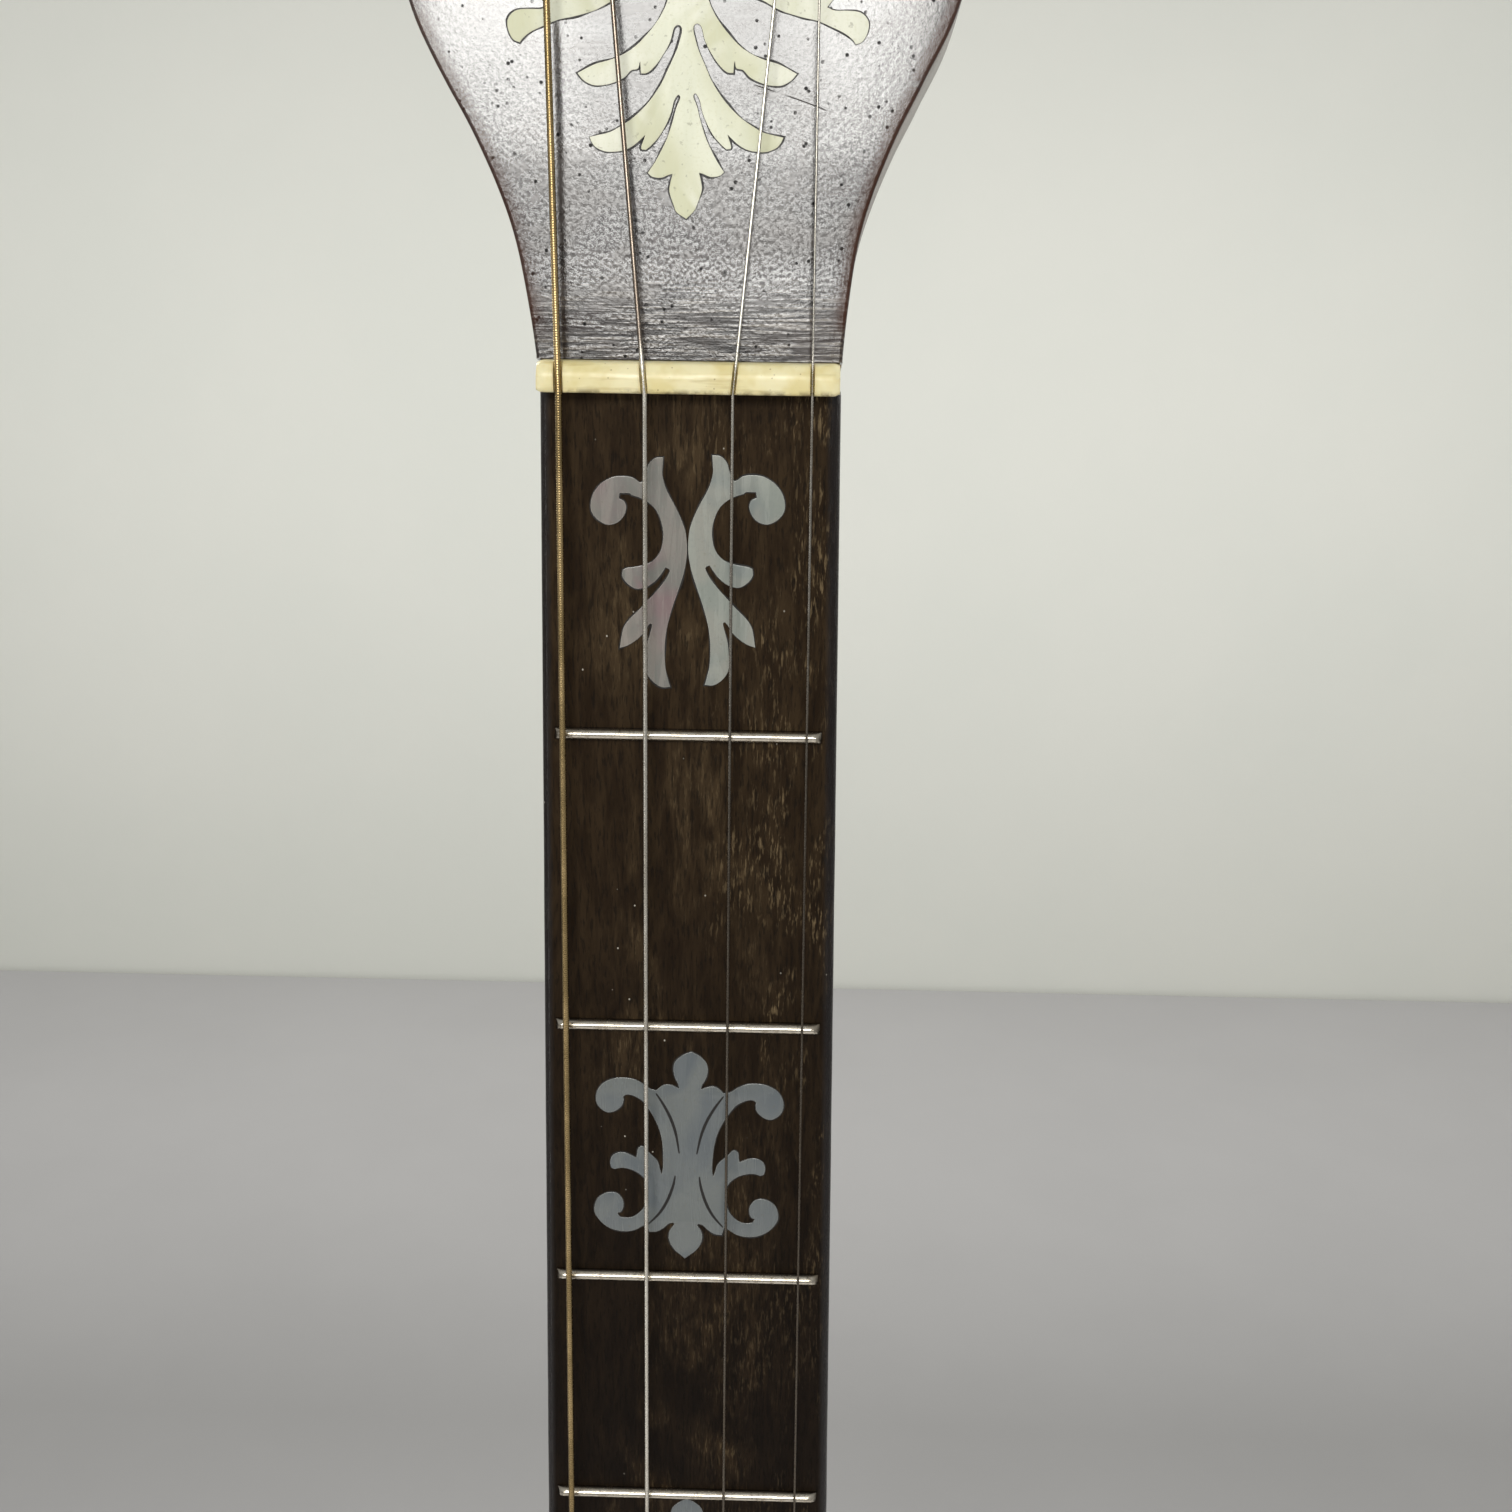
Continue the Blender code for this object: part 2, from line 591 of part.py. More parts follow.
def tail_box(bm, half_x, depths, downs):
    """A block given by how far it reaches behind the head's face, and below the pot's axis."""
    low = (-half_x, HEAD_Y + depths[0], POT_Z - downs[1])
    high = (half_x, HEAD_Y + depths[1], POT_Z - downs[0])
    return box(bm, low, high)


def tail_drum(bm, radius, down, depths, x=0.0, sides=16):
    start = (x, HEAD_Y + depths[0], POT_Z - down)
    return drum(bm, radius, start, (x, HEAD_Y + depths[1], POT_Z - down), sides)


def string_x(number, down):
    """Where a string is across the neck, at a distance down from the nut."""
    at_bridge = BRIDGE_SHIFT + (number - 1.5) * BRIDGE_SPACING
    return NUT_SLOTS[number] + (at_bridge - NUT_SLOTS[number]) * down / SCALE


def pin_x(number):
    return BRIDGE_SHIFT + (number - 1.5) * 0.0072


def make_tailpiece(plated):
    """The plate that the string loops hook on to, with a pin for each and ears for the lid."""
    bm = bmesh.new()
    tail_box(bm, PLATE_HALF, (PLATE_FACE, PLATE_FACE + PLATE_THICK), (PLATE_FRONT, PLATE_BACK))
    plate = piece("tailpiece", bm, plated)
    pins = bmesh.new()
    for number in range(4):
        spans = (PIN_TOP, PLATE_FACE + PLATE_THICK / 2)
        tail_drum(pins, PIN_RADIUS, PIN_DOWN, spans, pin_x(number), 8)
    for side in (-1, 1):
        x = side * (PLATE_HALF - 0.0012)
        low = (x - 0.0011, HEAD_Y - 0.0122, POT_Z - LID_HINGE_DOWN - 0.0020)
        high = (x + 0.0011, HEAD_Y + PLATE_FACE + PLATE_THICK / 2, POT_Z - LID_HINGE_DOWN + 0.0020)
        box(pins, low, high)
    boolean(plate, pins, "UNION")
    holes = bmesh.new()
    tail_drum(holes, 0.0020, SCREW_DOWN, (-0.020, 0.010))
    tail_drum(holes, 0.0021, HANGER_DOWN, (-0.020, 0.010))
    boolean(plate, holes, "DIFFERENCE")
    pivot = bmesh.new()
    y, z = HEAD_Y + LID_HINGE_DEPTH, POT_Z - LID_HINGE_DOWN
    drum(pivot, 0.0009, (-0.0200, y, z), (0.0200, y, z), 12)
    boolean(plate, pivot, "DIFFERENCE")


def make_tailpiece_lid(plated):
    """The cover over the string loops, with its hinge pin."""
    holder = frame("lid_axis", (0, HEAD_Y + LID_HINGE_DEPTH, POT_Z - LID_HINGE_DOWN))
    rise = LID_FACE - LID_HINGE_DEPTH
    length = LID_HINGE_DOWN - LID_FRONT
    # A side view in (depth, height) from the hinge pin: a flat cover, turned down at its front.
    inside = rise + LID_THICK
    side = (
        (-0.0006, -0.0006), (rise + 0.0006, -0.0010), (rise, 0.0006), (rise, length - 0.0008),
        (rise + 0.0008, length), (rise + 0.0020, length), (rise + 0.0020, length - LID_THICK),
        (inside + 0.0004, length - LID_THICK), (inside, length - 0.0014), (inside, 0.0014), (0.0006, 0.0006),
    )  # fmt: skip
    half = PLATE_HALF - 0.0028
    bm = bmesh.new()
    lofted(bm, [[(x, y, z) for y, z in side] for x in (-half, half)])
    lid = piece("tailpiece_lid", bm, plated, holder)
    pin = bmesh.new()
    drum(pin, 0.00065, (-PLATE_HALF + 0.0002, 0, 0), (PLATE_HALF - 0.0002, 0, 0), 12)
    boolean(lid, pin, "UNION", holder)


def make_tail_fasteners(plated):
    """The hanger that holds the tailpiece to the rim, and the screw that sets its pressure."""
    bm = bmesh.new()
    tail_box(bm, 0.008, (LIP_SPAN[0], 0.0465), STRAP_DOWN)
    bracket = piece("tail_bracket", bm, plated)
    lip = bmesh.new()
    tail_box(lip, 0.0079, LIP_SPAN, (STRAP_DOWN[0] + 0.0002, 0.1585))
    boolean(bracket, lip, "UNION")
    holes = bmesh.new()
    tail_drum(holes, 0.0021, HANGER_DOWN, (0.010, 0.0300))
    boolean(bracket, holes, "DIFFERENCE")
    boolean(bracket, end_bolt_hole(), "DIFFERENCE")

    bm = bmesh.new()
    head_front = PLATE_FACE - 0.0022
    profile = (
        (0, head_front), (0.0026, head_front), (0.0033, head_front + 0.0008), (0.0033, PLATE_FACE - GAP),
        (0.0018, PLATE_FACE - GAP), (0.0018, LIP_SPAN[1] + GAP), (0.0034, LIP_SPAN[1] + GAP),
        (0.0034, LIP_SPAN[1] + 0.0035), (0.0018, LIP_SPAN[1] + 0.0038), (0.0018, 0.0330), (0, 0.0330),
    )  # fmt: skip
    turned(bm, profile, 12, (0, HEAD_Y, POT_Z - HANGER_DOWN))
    piece("hanger_bolt", bm, plated)

    holder = frame("pressure_screw_axis", (0, HEAD_Y, POT_Z - SCREW_DOWN))
    profile = (
        (0, -0.0138), (0.0038, -0.0138), (0.0043, -0.0132), (0.0043, -0.0106), (0.0036, -0.0100),
        (0.0016, -0.0096), (0.0016, 0.0012), (0.0010, 0.0016), (0, 0.0016),
    )  # fmt: skip
    bm = bmesh.new()
    turned(bm, profile, 16)
    piece("pressure_screw", bm, plated, holder)

    # The end bolt goes through the bracket, the band and the rim, into the dowel stick.
    y = HEAD_Y + DOWEL_DEPTH
    outer = POT_Z - STRAP_DOWN[1] - GAP
    bm = bmesh.new()
    drum(bm, 0.0055, (0, y, outer - 0.0040), (0, y, outer), 6)
    bolt = piece("end_bolt", bm, plated)
    shank = bmesh.new()
    drum(shank, 0.0030, (0, y, outer - 0.0010), (0, y, POT_Z - RIM_RADIUS + RIM_WALL + 0.019), 16)
    boolean(bolt, shank, "UNION")


# ---- bridge and strings --------------------------------------------------------------------------
# Half of the bridge's outline, from the top edge round to the middle foot: across, and above the head.
BRIDGE_EDGE = (
    (0.0210, 1.00), (0.0236, 0.93), (0.0275, 0.52), (0.0335, 0.18), (0.0340, 0.00), (0.0262, 0.00),
    (0.0245, 0.22), (0.0205, 0.42), (0.0150, 0.48), (0.0095, 0.42), (0.0062, 0.22), (0.0050, 0.00),
)  # fmt: skip
BRIDGE_FOOT, BRIDGE_TOP = 0.0030, 0.0013  # half its thickness, at the foot and at the top


def make_bridge(maple):
    half = [(x, h * BRIDGE_HEIGHT) for x, h in BRIDGE_EDGE]
    outline = half + [(-x, h) for x, h in reversed(half)]
    foot_y = HEAD_Y - FINE_GAP
    z = NUT_Z - SCALE
    rings = []
    for side in (-1, 1):
        ring = []
        for x, height in outline:
            thick = BRIDGE_FOOT + (BRIDGE_TOP - BRIDGE_FOOT) * height / BRIDGE_HEIGHT
            ring.append((x + BRIDGE_SHIFT, foot_y - height, z + side * thick))
        rings.append(ring)
    bm = bmesh.new()
    lofted(bm, rings)
    piece("bridge", bm, maple)


POST_WAIST = 0.0025
WRAPS, WRAP_STEPS = 2.25, 8
WRAP_DEPTH = -0.0058  # in front of the headstock's face, where a string meets its post


def nut_string_y(radius):
    """A string's centre in its nut slot: the thickest stands half proud of the nut."""
    return BOARD_TOP_Y - NUT_PROUD + 0.0006 - radius * 0.9


def headstock_matrix():
    place = Matrix.Translation((0, FACE_Y, NUT_Z + NUT_THICK))
    return place @ Matrix.Rotation(-HEAD_ANGLE, 4, "X")


def string_wraps(number):
    """The turns that a string takes round its tuner's post, from the post's inner side."""
    radius = STRING_RADII[number]
    to_world = headstock_matrix()
    x, up = PEG_HOLES[number]
    side = 1 if x < 0 else -1
    reach = POST_WAIST + GAP + radius
    points = []
    for k in range(int(WRAPS * WRAP_STEPS) + 1):
        angle = math.tau * k / WRAP_STEPS
        depth = WRAP_DEPTH + k / WRAP_STEPS * (2 * radius + 0.00012)
        place = (x + side * reach * math.cos(angle), depth, up + reach * math.sin(angle))
        points.append(to_world @ Vector(place))
    return points


def string_line(number):
    """A string's centre line: loop on its tail pin, bridge, nut, and the turns on its post."""
    radius = STRING_RADII[number]
    pin = pin_x(number)
    loop = PIN_RADIUS + 0.0004 + radius
    y = HEAD_Y + PLATE_FACE - radius - GAP
    z = POT_Z - PIN_DOWN
    points = []
    for degrees in (70, 15, -40, -90, -140, -190):
        angle = math.radians(degrees)
        points.append(Vector((pin + loop * math.cos(angle), y, z + loop * math.sin(angle))))
    points.append(Vector((pin, y, POT_Z - PLATE_FRONT + 0.001)))
    bridge_y = HEAD_Y - BRIDGE_HEIGHT - 0.0004 - radius
    points.append(Vector((string_x(number, SCALE), bridge_y, NUT_Z - SCALE)))
    points.append(Vector((NUT_SLOTS[number], nut_string_y(radius), NUT_Z)))
    return points + string_wraps(number)


def make_strings(wound_bronze, steel):
    for number, radius in enumerate(STRING_RADII):
        points = string_line(number)
        curve = bpy.data.curves.new(f"string_{4 - number}", "CURVE")
        curve.dimensions = "3D"
        curve.bevel_depth = radius
        curve.bevel_resolution = 1
        curve.render_resolution_u = 0
        curve.use_fill_caps = True
        spline = curve.splines.new("POLY")
        spline.points.add(len(points) - 1)
        for slot, point in zip(spline.points, points):
            slot.co = (*point, 1)
        curve.materials.append(wound_bronze if number == 0 else steel)
        made = bpy.data.objects.new(f"string_{4 - number}", curve)
        bpy.context.scene.collection.objects.link(made)


# ---- tuners --------------------------------------------------------------------------------------
POST_RADIUS = 0.0031
BORE = POST_RADIUS + GAP
HOUSING_BACK = HEADSTOCK_THICK + 0.0125
POST_END = HEADSTOCK_THICK + 0.0050


def make_tuner(number, plated, pearl, headstock_frame):
    """A planetary peg: its housing through the headstock, its string post, and its knob behind."""
    x, up = PEG_HOLES[number]
    label = 4 - number
    holder = frame(f"tuner_axis_{label}", (x, 0, up))
    holder.parent = headstock_frame
    seat = HEADSTOCK_THICK + GAP
    profile = (
        (BORE, -0.0030), (0.0064, -0.0030), (0.0070, -0.0024), (0.0070, -GAP), (0.0050, -GAP), (0.0050, seat),
        (0.0072, seat), (0.0080, seat + 0.0010), (0.0080, seat + 0.0088), (0.0068, HOUSING_BACK),
        (BORE, HOUSING_BACK),
    )  # fmt: skip
    bm = turned(bmesh.new(), profile, 20)
    piece(f"tuner_housing_{label}", bm, plated, holder)

    profile = (
        (0, -0.0128), (0.0027, -0.0128), (POST_RADIUS, -0.0123), (POST_RADIUS, -0.0088), (POST_WAIST, -0.0078),
        (POST_WAIST, -0.0033), (POST_RADIUS, -0.0026), (POST_RADIUS, POST_END), (0, POST_END),
    )  # fmt: skip
    bm = turned(bmesh.new(), profile, 20)
    post = piece(f"tuner_post_{label}", bm, plated, holder)
    hole = bmesh.new()
    drum(hole, 0.0006, (0, -0.0069, -0.006), (0, -0.0069, 0.006), 8)
    boolean(post, hole, "DIFFERENCE", holder)

    # The knob: a round shaft that swells into an oval button. Distance back, half width, half height.
    sections = (
        (POST_END + 0.0006, POST_RADIUS, POST_RADIUS), (HOUSING_BACK + 0.0006, POST_RADIUS, POST_RADIUS),
        (HOUSING_BACK + 0.0012, 0.0042, 0.0042), (HOUSING_BACK + 0.0030, 0.0048, 0.0044),
        (HOUSING_BACK + 0.0048, 0.0072, 0.0046), (HOUSING_BACK + 0.0078, 0.0096, 0.0048),
        (HOUSING_BACK + 0.0120, 0.0104, 0.0048), (HOUSING_BACK + 0.0155, 0.0098, 0.0044),
        (HOUSING_BACK + 0.0176, 0.0080, 0.0034), (HOUSING_BACK + 0.0184, 0.0050, 0.0020),
    )  # fmt: skip
    rings = []
    for back, half_x, half_z in sections:
        turns = [math.tau * k / 20 for k in range(20)]
        rings.append([(half_x * math.cos(t), back, half_z * math.sin(t)) for t in turns])
    knob = piece(f"tuner_knob_{label}", lofted(bmesh.new(), rings), pearl, holder, 60)
    return knob


# ---- the banjo -----------------------------------------------------------------------------------
def main():
    for old in list(bpy.data.objects):
        bpy.data.objects.remove(old)
    mahogany = material("stained mahogany", (0.075, 0.030, 0.016), 0.35)
    ebonised = material("ebonised wood", (0.040, 0.026, 0.018), 0.45)
    lacquer = material("black lacquer", (0.030, 0.028, 0.030), 0.22)
    maple = material("amber maple", (0.42, 0.22, 0.085), 0.38)
    pale_maple = material("bare maple", (0.62, 0.44, 0.24), 0.55)
    bone = material("bone", (0.80, 0.74, 0.56), 0.35)
    skin = material("coated head", (0.86, 0.85, 0.80), 0.60)
    brass = material("brass", (0.70, 0.48, 0.20), 0.28, 1.0)
    plated = material("nickel plate", (0.66, 0.63, 0.58), 0.24, 1.0)
    bronze = material("wound bronze", (0.62, 0.42, 0.20), 0.35, 1.0)
    steel = material("string steel", (0.62, 0.63, 0.65), 0.25, 1.0)
    pearl = material("pearloid", (0.82, 0.79, 0.72), 0.30)

    headstock_frame = frame("headstock_face", (0, FACE_Y, NUT_Z + NUT_THICK), -HEAD_ANGLE)
    make_neck(mahogany, headstock_frame)
    make_overlay(lacquer, headstock_frame)
    make_fingerboard(ebonised)
    make_nut(bone)
    make_dowel_stick(pale_maple)
    make_rim(maple)
    make_tone_ring(brass)
    make_head(skin)
    make_hoops(plated)
    make_bracket_band(plated)
    make_hooks(plated)
    make_neck_brace(plated)
    make_tailpiece(plated)
    make_tailpiece_lid(plated)
    make_tail_fasteners(plated)
    make_bridge(pale_maple)
    make_strings(bronze, steel)
    for number in range(4):
        make_tuner(number, plated, pearl, headstock_frame)


main()
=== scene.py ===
"""The looks of the four-string open-back banjo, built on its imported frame.

Metres, +Z up, +X to the viewer's right, strings facing -Y. Shapes on the headstock are made in its own
frame: x across, y behind the face, z up the headstock from the nut's back edge.
"""

import math

import bmesh
import bpy
from mathutils import Matrix, Vector, noise


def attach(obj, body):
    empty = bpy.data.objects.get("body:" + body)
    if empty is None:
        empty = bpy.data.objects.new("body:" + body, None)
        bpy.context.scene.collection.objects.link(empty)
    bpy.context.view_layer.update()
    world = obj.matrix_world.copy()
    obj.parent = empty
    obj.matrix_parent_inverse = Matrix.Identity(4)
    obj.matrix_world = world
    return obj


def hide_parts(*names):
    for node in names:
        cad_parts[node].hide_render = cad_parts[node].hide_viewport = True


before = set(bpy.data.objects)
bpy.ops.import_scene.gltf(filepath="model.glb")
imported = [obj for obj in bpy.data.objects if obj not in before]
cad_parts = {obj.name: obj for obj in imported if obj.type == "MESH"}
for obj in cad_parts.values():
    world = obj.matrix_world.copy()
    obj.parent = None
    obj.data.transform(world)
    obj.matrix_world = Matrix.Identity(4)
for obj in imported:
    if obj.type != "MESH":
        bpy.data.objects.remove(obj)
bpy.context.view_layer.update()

# ---- driving dimensions, as in the solids --------------------------------------------------------
SCALE, FRETS = 0.667, 22
NECK_WIDTH, NECK_TAPER = 0.03125, 0.0305
BOARD_THICK, BOARD_END = 0.005, 0.488
NUT_WIDTH, NUT_THICK, NUT_PROUD = 0.03175, 0.0033, 0.0024
HEAD_ANGLE = math.radians(11)
RIM_RADIUS, RIM_WALL, RIM_BACK = 0.1397, 0.0127, 0.066
HOOP_RADIUS, HOOK_CIRCLE, HOOKS = 0.1472, 0.1506, 24
BRIDGE_HEIGHT = 0.0127
STRING_RADII = (0.00038, 0.00026, 0.000165, 0.000135)
NUT_SLOTS = (-0.0135, -0.0045, 0.0047, 0.0130)
BRIDGE_SPACING, BRIDGE_SHIFT = 0.0112, -0.0006
PEG_HOLES = ((-0.0182, 0.047), (-0.0162, 0.092), (0.0163, 0.092), (0.0156, 0.047))
BOARD_TOP_Y = -0.010
NUT_Z = -0.012
HEAD_Y = BOARD_TOP_Y + 0.0072
POT_Z = NUT_Z - BOARD_END - 0.0005 - HOOP_RADIUS
NUT_EDGE = NECK_WIDTH / 2
FACE_Y = BOARD_TOP_Y + 0.0005
HEADSTOCK_THICK, OVERLAY_THICK = 0.014, 0.002
GAP, FINE_GAP = 0.0003, 0.0001
HEADSTOCK = Matrix.Translation((0, FACE_Y, NUT_Z + NUT_THICK)) @ Matrix.Rotation(-HEAD_ANGLE, 4, "X")
POT = Matrix.Translation((0, HEAD_Y, POT_Z))  # x across, y behind the head's face, z up from the pot's axis
DOWEL_DEPTH, DOWEL_HALF, DOWEL_TAIL_HALF = 0.038, (0.0090, 0.0120), (0.0080, 0.0100)
BAND_RADIUS, BAND_SPAN = RIM_RADIUS + 0.0016, (0.033, 0.045)
CAP_FRONT = 0.0600  # where the rim's wood meets its cap
HEAD_DROP = 0.0036  # from the head's face down to the tone ring's centre
PEG_BORE, STRING_HOLE = 0.0053, -0.0069
RIM_STEPS, HOOP_STEPS = 192, 240


# ---- shapes --------------------------------------------------------------------------------------
def lofted(rings, closed=False):
    """A closed solid through rings of as many points each; closed joins the last ring to the first."""
    bm = bmesh.new()
    loops = [[bm.verts.new(p) for p in ring] for ring in rings]
    count = len(loops[0])
    pairs = list(zip(loops, loops[1:])) + ([(loops[-1], loops[0])] if closed else [])
    for low, high in pairs:
        for i in range(count):
            j = (i + 1) % count
            bm.faces.new((low[i], low[j], high[j], high[i]))
    if not closed:
        bm.faces.new(loops[0])
        bm.faces.new(loops[-1])
    return bm


def turned(profile, steps=96):
    """Spins (radius, depth) points about the Y axis. A profile that starts and ends on the axis makes a
    solid; any other is closed and makes a ring."""
    on_axis = profile[0][0] == 0 and profile[-1][0] == 0
    bm = bmesh.new()
    rows = []
    for r, d in profile:
        if r == 0:
            rows.append([bm.verts.new((0, d, 0))])
        else:
            turns = (math.tau * k / steps for k in range(steps))
            rows.append([bm.verts.new((r * math.sin(t), d, r * math.cos(t))) for t in turns])
    pairs = list(zip(rows, rows[1:])) + ([] if on_axis else [(rows[-1], rows[0])])
    for a, b in pairs:
        for k in range(steps):
            n = (k + 1) % steps
            corners = [a[k % len(a)], a[n % len(a)], b[n % len(b)], b[k % len(b)]]
            bm.faces.new(list(dict.fromkeys(corners)))
    return bm


def rounded(profile, radius, steps=3, closed=False):
    """Rounds the corners of a profile. Points on the axis, and the ends of an open one, stay."""
    done, count = [], len(profile)
    for i, point in enumerate(profile):
        here = Vector(point)
        if not closed and i in (0, count - 1):
            done.append(tuple(here))
            continue
        before, after = Vector(profile[i - 1]), Vector(profile[(i + 1) % count])
        a, b = before - here, after - here
        cut = min(radius, a.length * 0.45, b.length * 0.45)
        start, end = here + a.normalized() * cut, here + b.normalized() * cut
        for k in range(steps + 1):
            t = k / steps
            done.append(tuple(start * (1 - t) ** 2 + here * 2 * t * (1 - t) + end * t * t))
    return done


def offset(outline, distance):
    """Moves an outline inwards by a distance, or outwards by a negative one."""
    area = sum(a[0] * b[1] - b[0] * a[1] for a, b in zip(outline, outline[1:] + outline[:1]))
    side = 1 if area > 0 else -1
    count, moved = len(outline), []
    for i in range(count):
        before, here, after = Vector(outline[i - 1]), Vector(outline[i]), Vector(outline[(i + 1) % count])
        a, b = (here - before).normalized(), (after - here).normalized()
        normal = Vector((-(a + b).y, (a + b).x))
        if normal.length < 1e-6:
            normal = Vector((a.x, a.y))
        normal.normalize()
        square = max(0.45, normal.dot(Vector((-a.y, a.x))))
        moved.append(tuple(here + normal * side * distance / square))
    return moved


def slab(outline, front, back, round_front=0.0, round_back=0.0, steps=3):
    """An outline of (x, z) points, solid from one depth to another, with its edges rounded."""
    rows = []
    for k in range(steps + 1 if round_front else 1):
        a = math.pi / 2 * k / steps
        inward, down = round_front * (1 - math.sin(a)), round_front * (1 - math.cos(a))
        rows.append((inward, front + down))
    for k in range(steps + 1 if round_back else 1):
        a = math.pi / 2 * k / steps
        inward, down = round_back * (1 - math.cos(a)), round_back * (1 - math.sin(a))
        rows.append((inward, back - down))
    rings = []
    for inward, depth in rows:
        line = offset(outline, inward) if inward else outline
        rings.append([(x, depth, z) for x, z in line])
    return lofted(rings)


def softened(bm, width, segments=2, angle=30):
    """Rounds the sharp edges of a plain shape."""
    bmesh.ops.recalc_face_normals(bm, faces=bm.faces)
    sharp = [e for e in bm.edges if len(e.link_faces) == 2 and e.calc_face_angle(0) > math.radians(angle)]
    bmesh.ops.bevel(
        bm, geom=sharp, offset=width, segments=segments, profile=0.5, affect="EDGES", clamp_overlap=True
    )
    return bm


def block(low, high, soft=0.0, segments=2):
    bm = bmesh.new()
    size = [b - a for a, b in zip(low, high)]
    middle = [(a + b) / 2 for a, b in zip(low, high)]
    bmesh.ops.create_cube(bm, size=1, matrix=Matrix.Translation(middle) @ Matrix.Diagonal((*size, 1)))
    return softened(bm, soft, segments) if soft else bm


def rod(start, end, radius, sides=24, chamfer=0.0):
    """A round bar between two points, with chamfered ends."""
    start, end = Vector(start), Vector(end)
    along = (end - start).normalized()
    points = [start, start + along * chamfer, end - along * chamfer, end] if chamfer else [start, end]
    radii = [radius - chamfer, radius, radius, radius - chamfer] if chamfer else [radius, radius]
    return tube(points, radii, sides)


def tube(points, radii, sides=12):
    """A round solid along a line of points, with a radius for each."""
    points = [Vector(p) for p in points]
    if not hasattr(radii, "__len__"):
        radii = [radii] * len(points)
    last = len(points) - 1
    along = (points[1] - points[0]).normalized()
    across = along.orthogonal().normalized()
    circle = [(math.cos(math.tau * n / sides), math.sin(math.tau * n / sides)) for n in range(sides)]
    rings = []
    for k, point in enumerate(points):
        now = (points[min(last, k + 1)] - points[max(0, k - 1)]).normalized()
        across = (along.rotation_difference(now).to_matrix() @ across).normalized()
        along = now
        out = along.cross(across)
        rings.append([point + radii[k] * (c * across + s * out) for c, s in circle])
    return lofted(rings)


def curve_through(points, per_span):
    """A smooth line through points, as Catmull-Rom spans."""
    ends = [points[0], *points, points[-1]]
    line = []
    for a, b, c, d in zip(ends, ends[1:], ends[2:], ends[3:]):
        for k in range(per_span):
            t = k / per_span
            line.append(
                tuple(
                    0.5
                    * (2 * q + (r - p) * t + (2 * p - 5 * q + 4 * r - s) * t**2 + (3 * q - p - 3 * r + s) * t**3)
                    for p, q, r, s in zip(a, b, c, d)
                )
            )
    return [*line, tuple(points[-1])]


def stations(rows, per_span):
    """More rows between the given ones: the first column runs evenly, and the others bend smoothly."""
    last = len(rows) - 1

    def slope(k):
        a, b = rows[max(0, k - 1)], rows[min(last, k + 1)]
        return [(q - p) / (b[0] - a[0]) for p, q in zip(a, b)]

    done = []
    for k in range(last):
        a, b, span = rows[k], rows[k + 1], rows[k + 1][0] - rows[k][0]
        rise_a, rise_b = slope(k), slope(k + 1)
        for n in range(per_span):
            t = n / per_span
            h = (2 * t**3 - 3 * t**2 + 1, t**3 - 2 * t**2 + t, 3 * t**2 - 2 * t**3, t**3 - t**2)
            done.append(
                [
                    h[0] * p + h[1] * span * u + h[2] * q + h[3] * span * v
                    for p, q, u, v in zip(a, b, rise_a, rise_b)
                ]
            )
            done[-1][0] = a[0] + span * t
    return [*done, list(rows[-1])]


def arc(centre, radius, start_degrees, end_degrees, steps):
    angles = [
        math.radians(start_degrees + (end_degrees - start_degrees) * k / steps) for k in range(steps + 1)
    ]
    return [(centre[0] + radius * math.cos(a), centre[1] + radius * math.sin(a)) for a in angles]


def merged(*parts):
    """Several closed shapes in one mesh."""
    whole = bmesh.new()
    for part in parts:
        bmesh.ops.recalc_face_normals(part, faces=part.faces)
        mesh = bpy.data.meshes.new("part")
        part.to_mesh(mesh)
        part.free()
        whole.from_mesh(mesh)
        bpy.data.meshes.remove(mesh)
    return whole


def combined(bm, tool, operation="DIFFERENCE"):
    """One solid cut from, or joined to, another."""
    holders = []
    for source in (bm, tool):
        bmesh.ops.recalc_face_normals(source, faces=source.faces)
        mesh = bpy.data.meshes.new("part")
        source.to_mesh(mesh)
        source.free()
        holder = bpy.data.objects.new("part", mesh)
        bpy.context.scene.collection.objects.link(holder)
        holders.append(holder)
    modifier = holders[0].modifiers.new("combine", "BOOLEAN")
    modifier.operation, modifier.object, modifier.solver = operation, holders[1], "EXACT"
    result = bmesh.new()
    result.from_mesh(holders[0].evaluated_get(bpy.context.evaluated_depsgraph_get()).to_mesh())
    for holder in holders:
        mesh = holder.data
        bpy.data.objects.remove(holder)
        bpy.data.meshes.remove(mesh)
    return result


def moved(bm, matrix):
    bm.transform(matrix)
    return bm


def lathed(profile, edge, cuts, steps, closed=False):
    """A turned solid whose profile has its corners rounded."""
    return turned(rounded(profile, edge, cuts, closed), steps)


def cross_rod(x, z, front, back, radius, *form):
    """A rod that runs from front to back."""
    return rod((x, front, z), (x, back, z), radius, *form)


def dowel_rod(low, high, radius, *form):
    """A rod along the dowel stick's axis."""
    return rod((0, DOWEL_DEPTH, low), (0, DOWEL_DEPTH, high), radius, *form)


def layered(layers, face, closed=False):
    """A solid through outlines, each at its depth behind a face."""
    return lofted([[(x, face + deep, z) for x, z in line] for line, deep in layers], closed=closed)


def powered(value, power):
    """A power that keeps the sign, for rounded squares."""
    return math.copysign(abs(value) ** power, value)


def mesh_of(name, bm):
    bmesh.ops.recalc_face_normals(bm, faces=bm.faces)
    mesh = bpy.data.meshes.new(name)
    bm.to_mesh(mesh)
    bm.free()
    return mesh


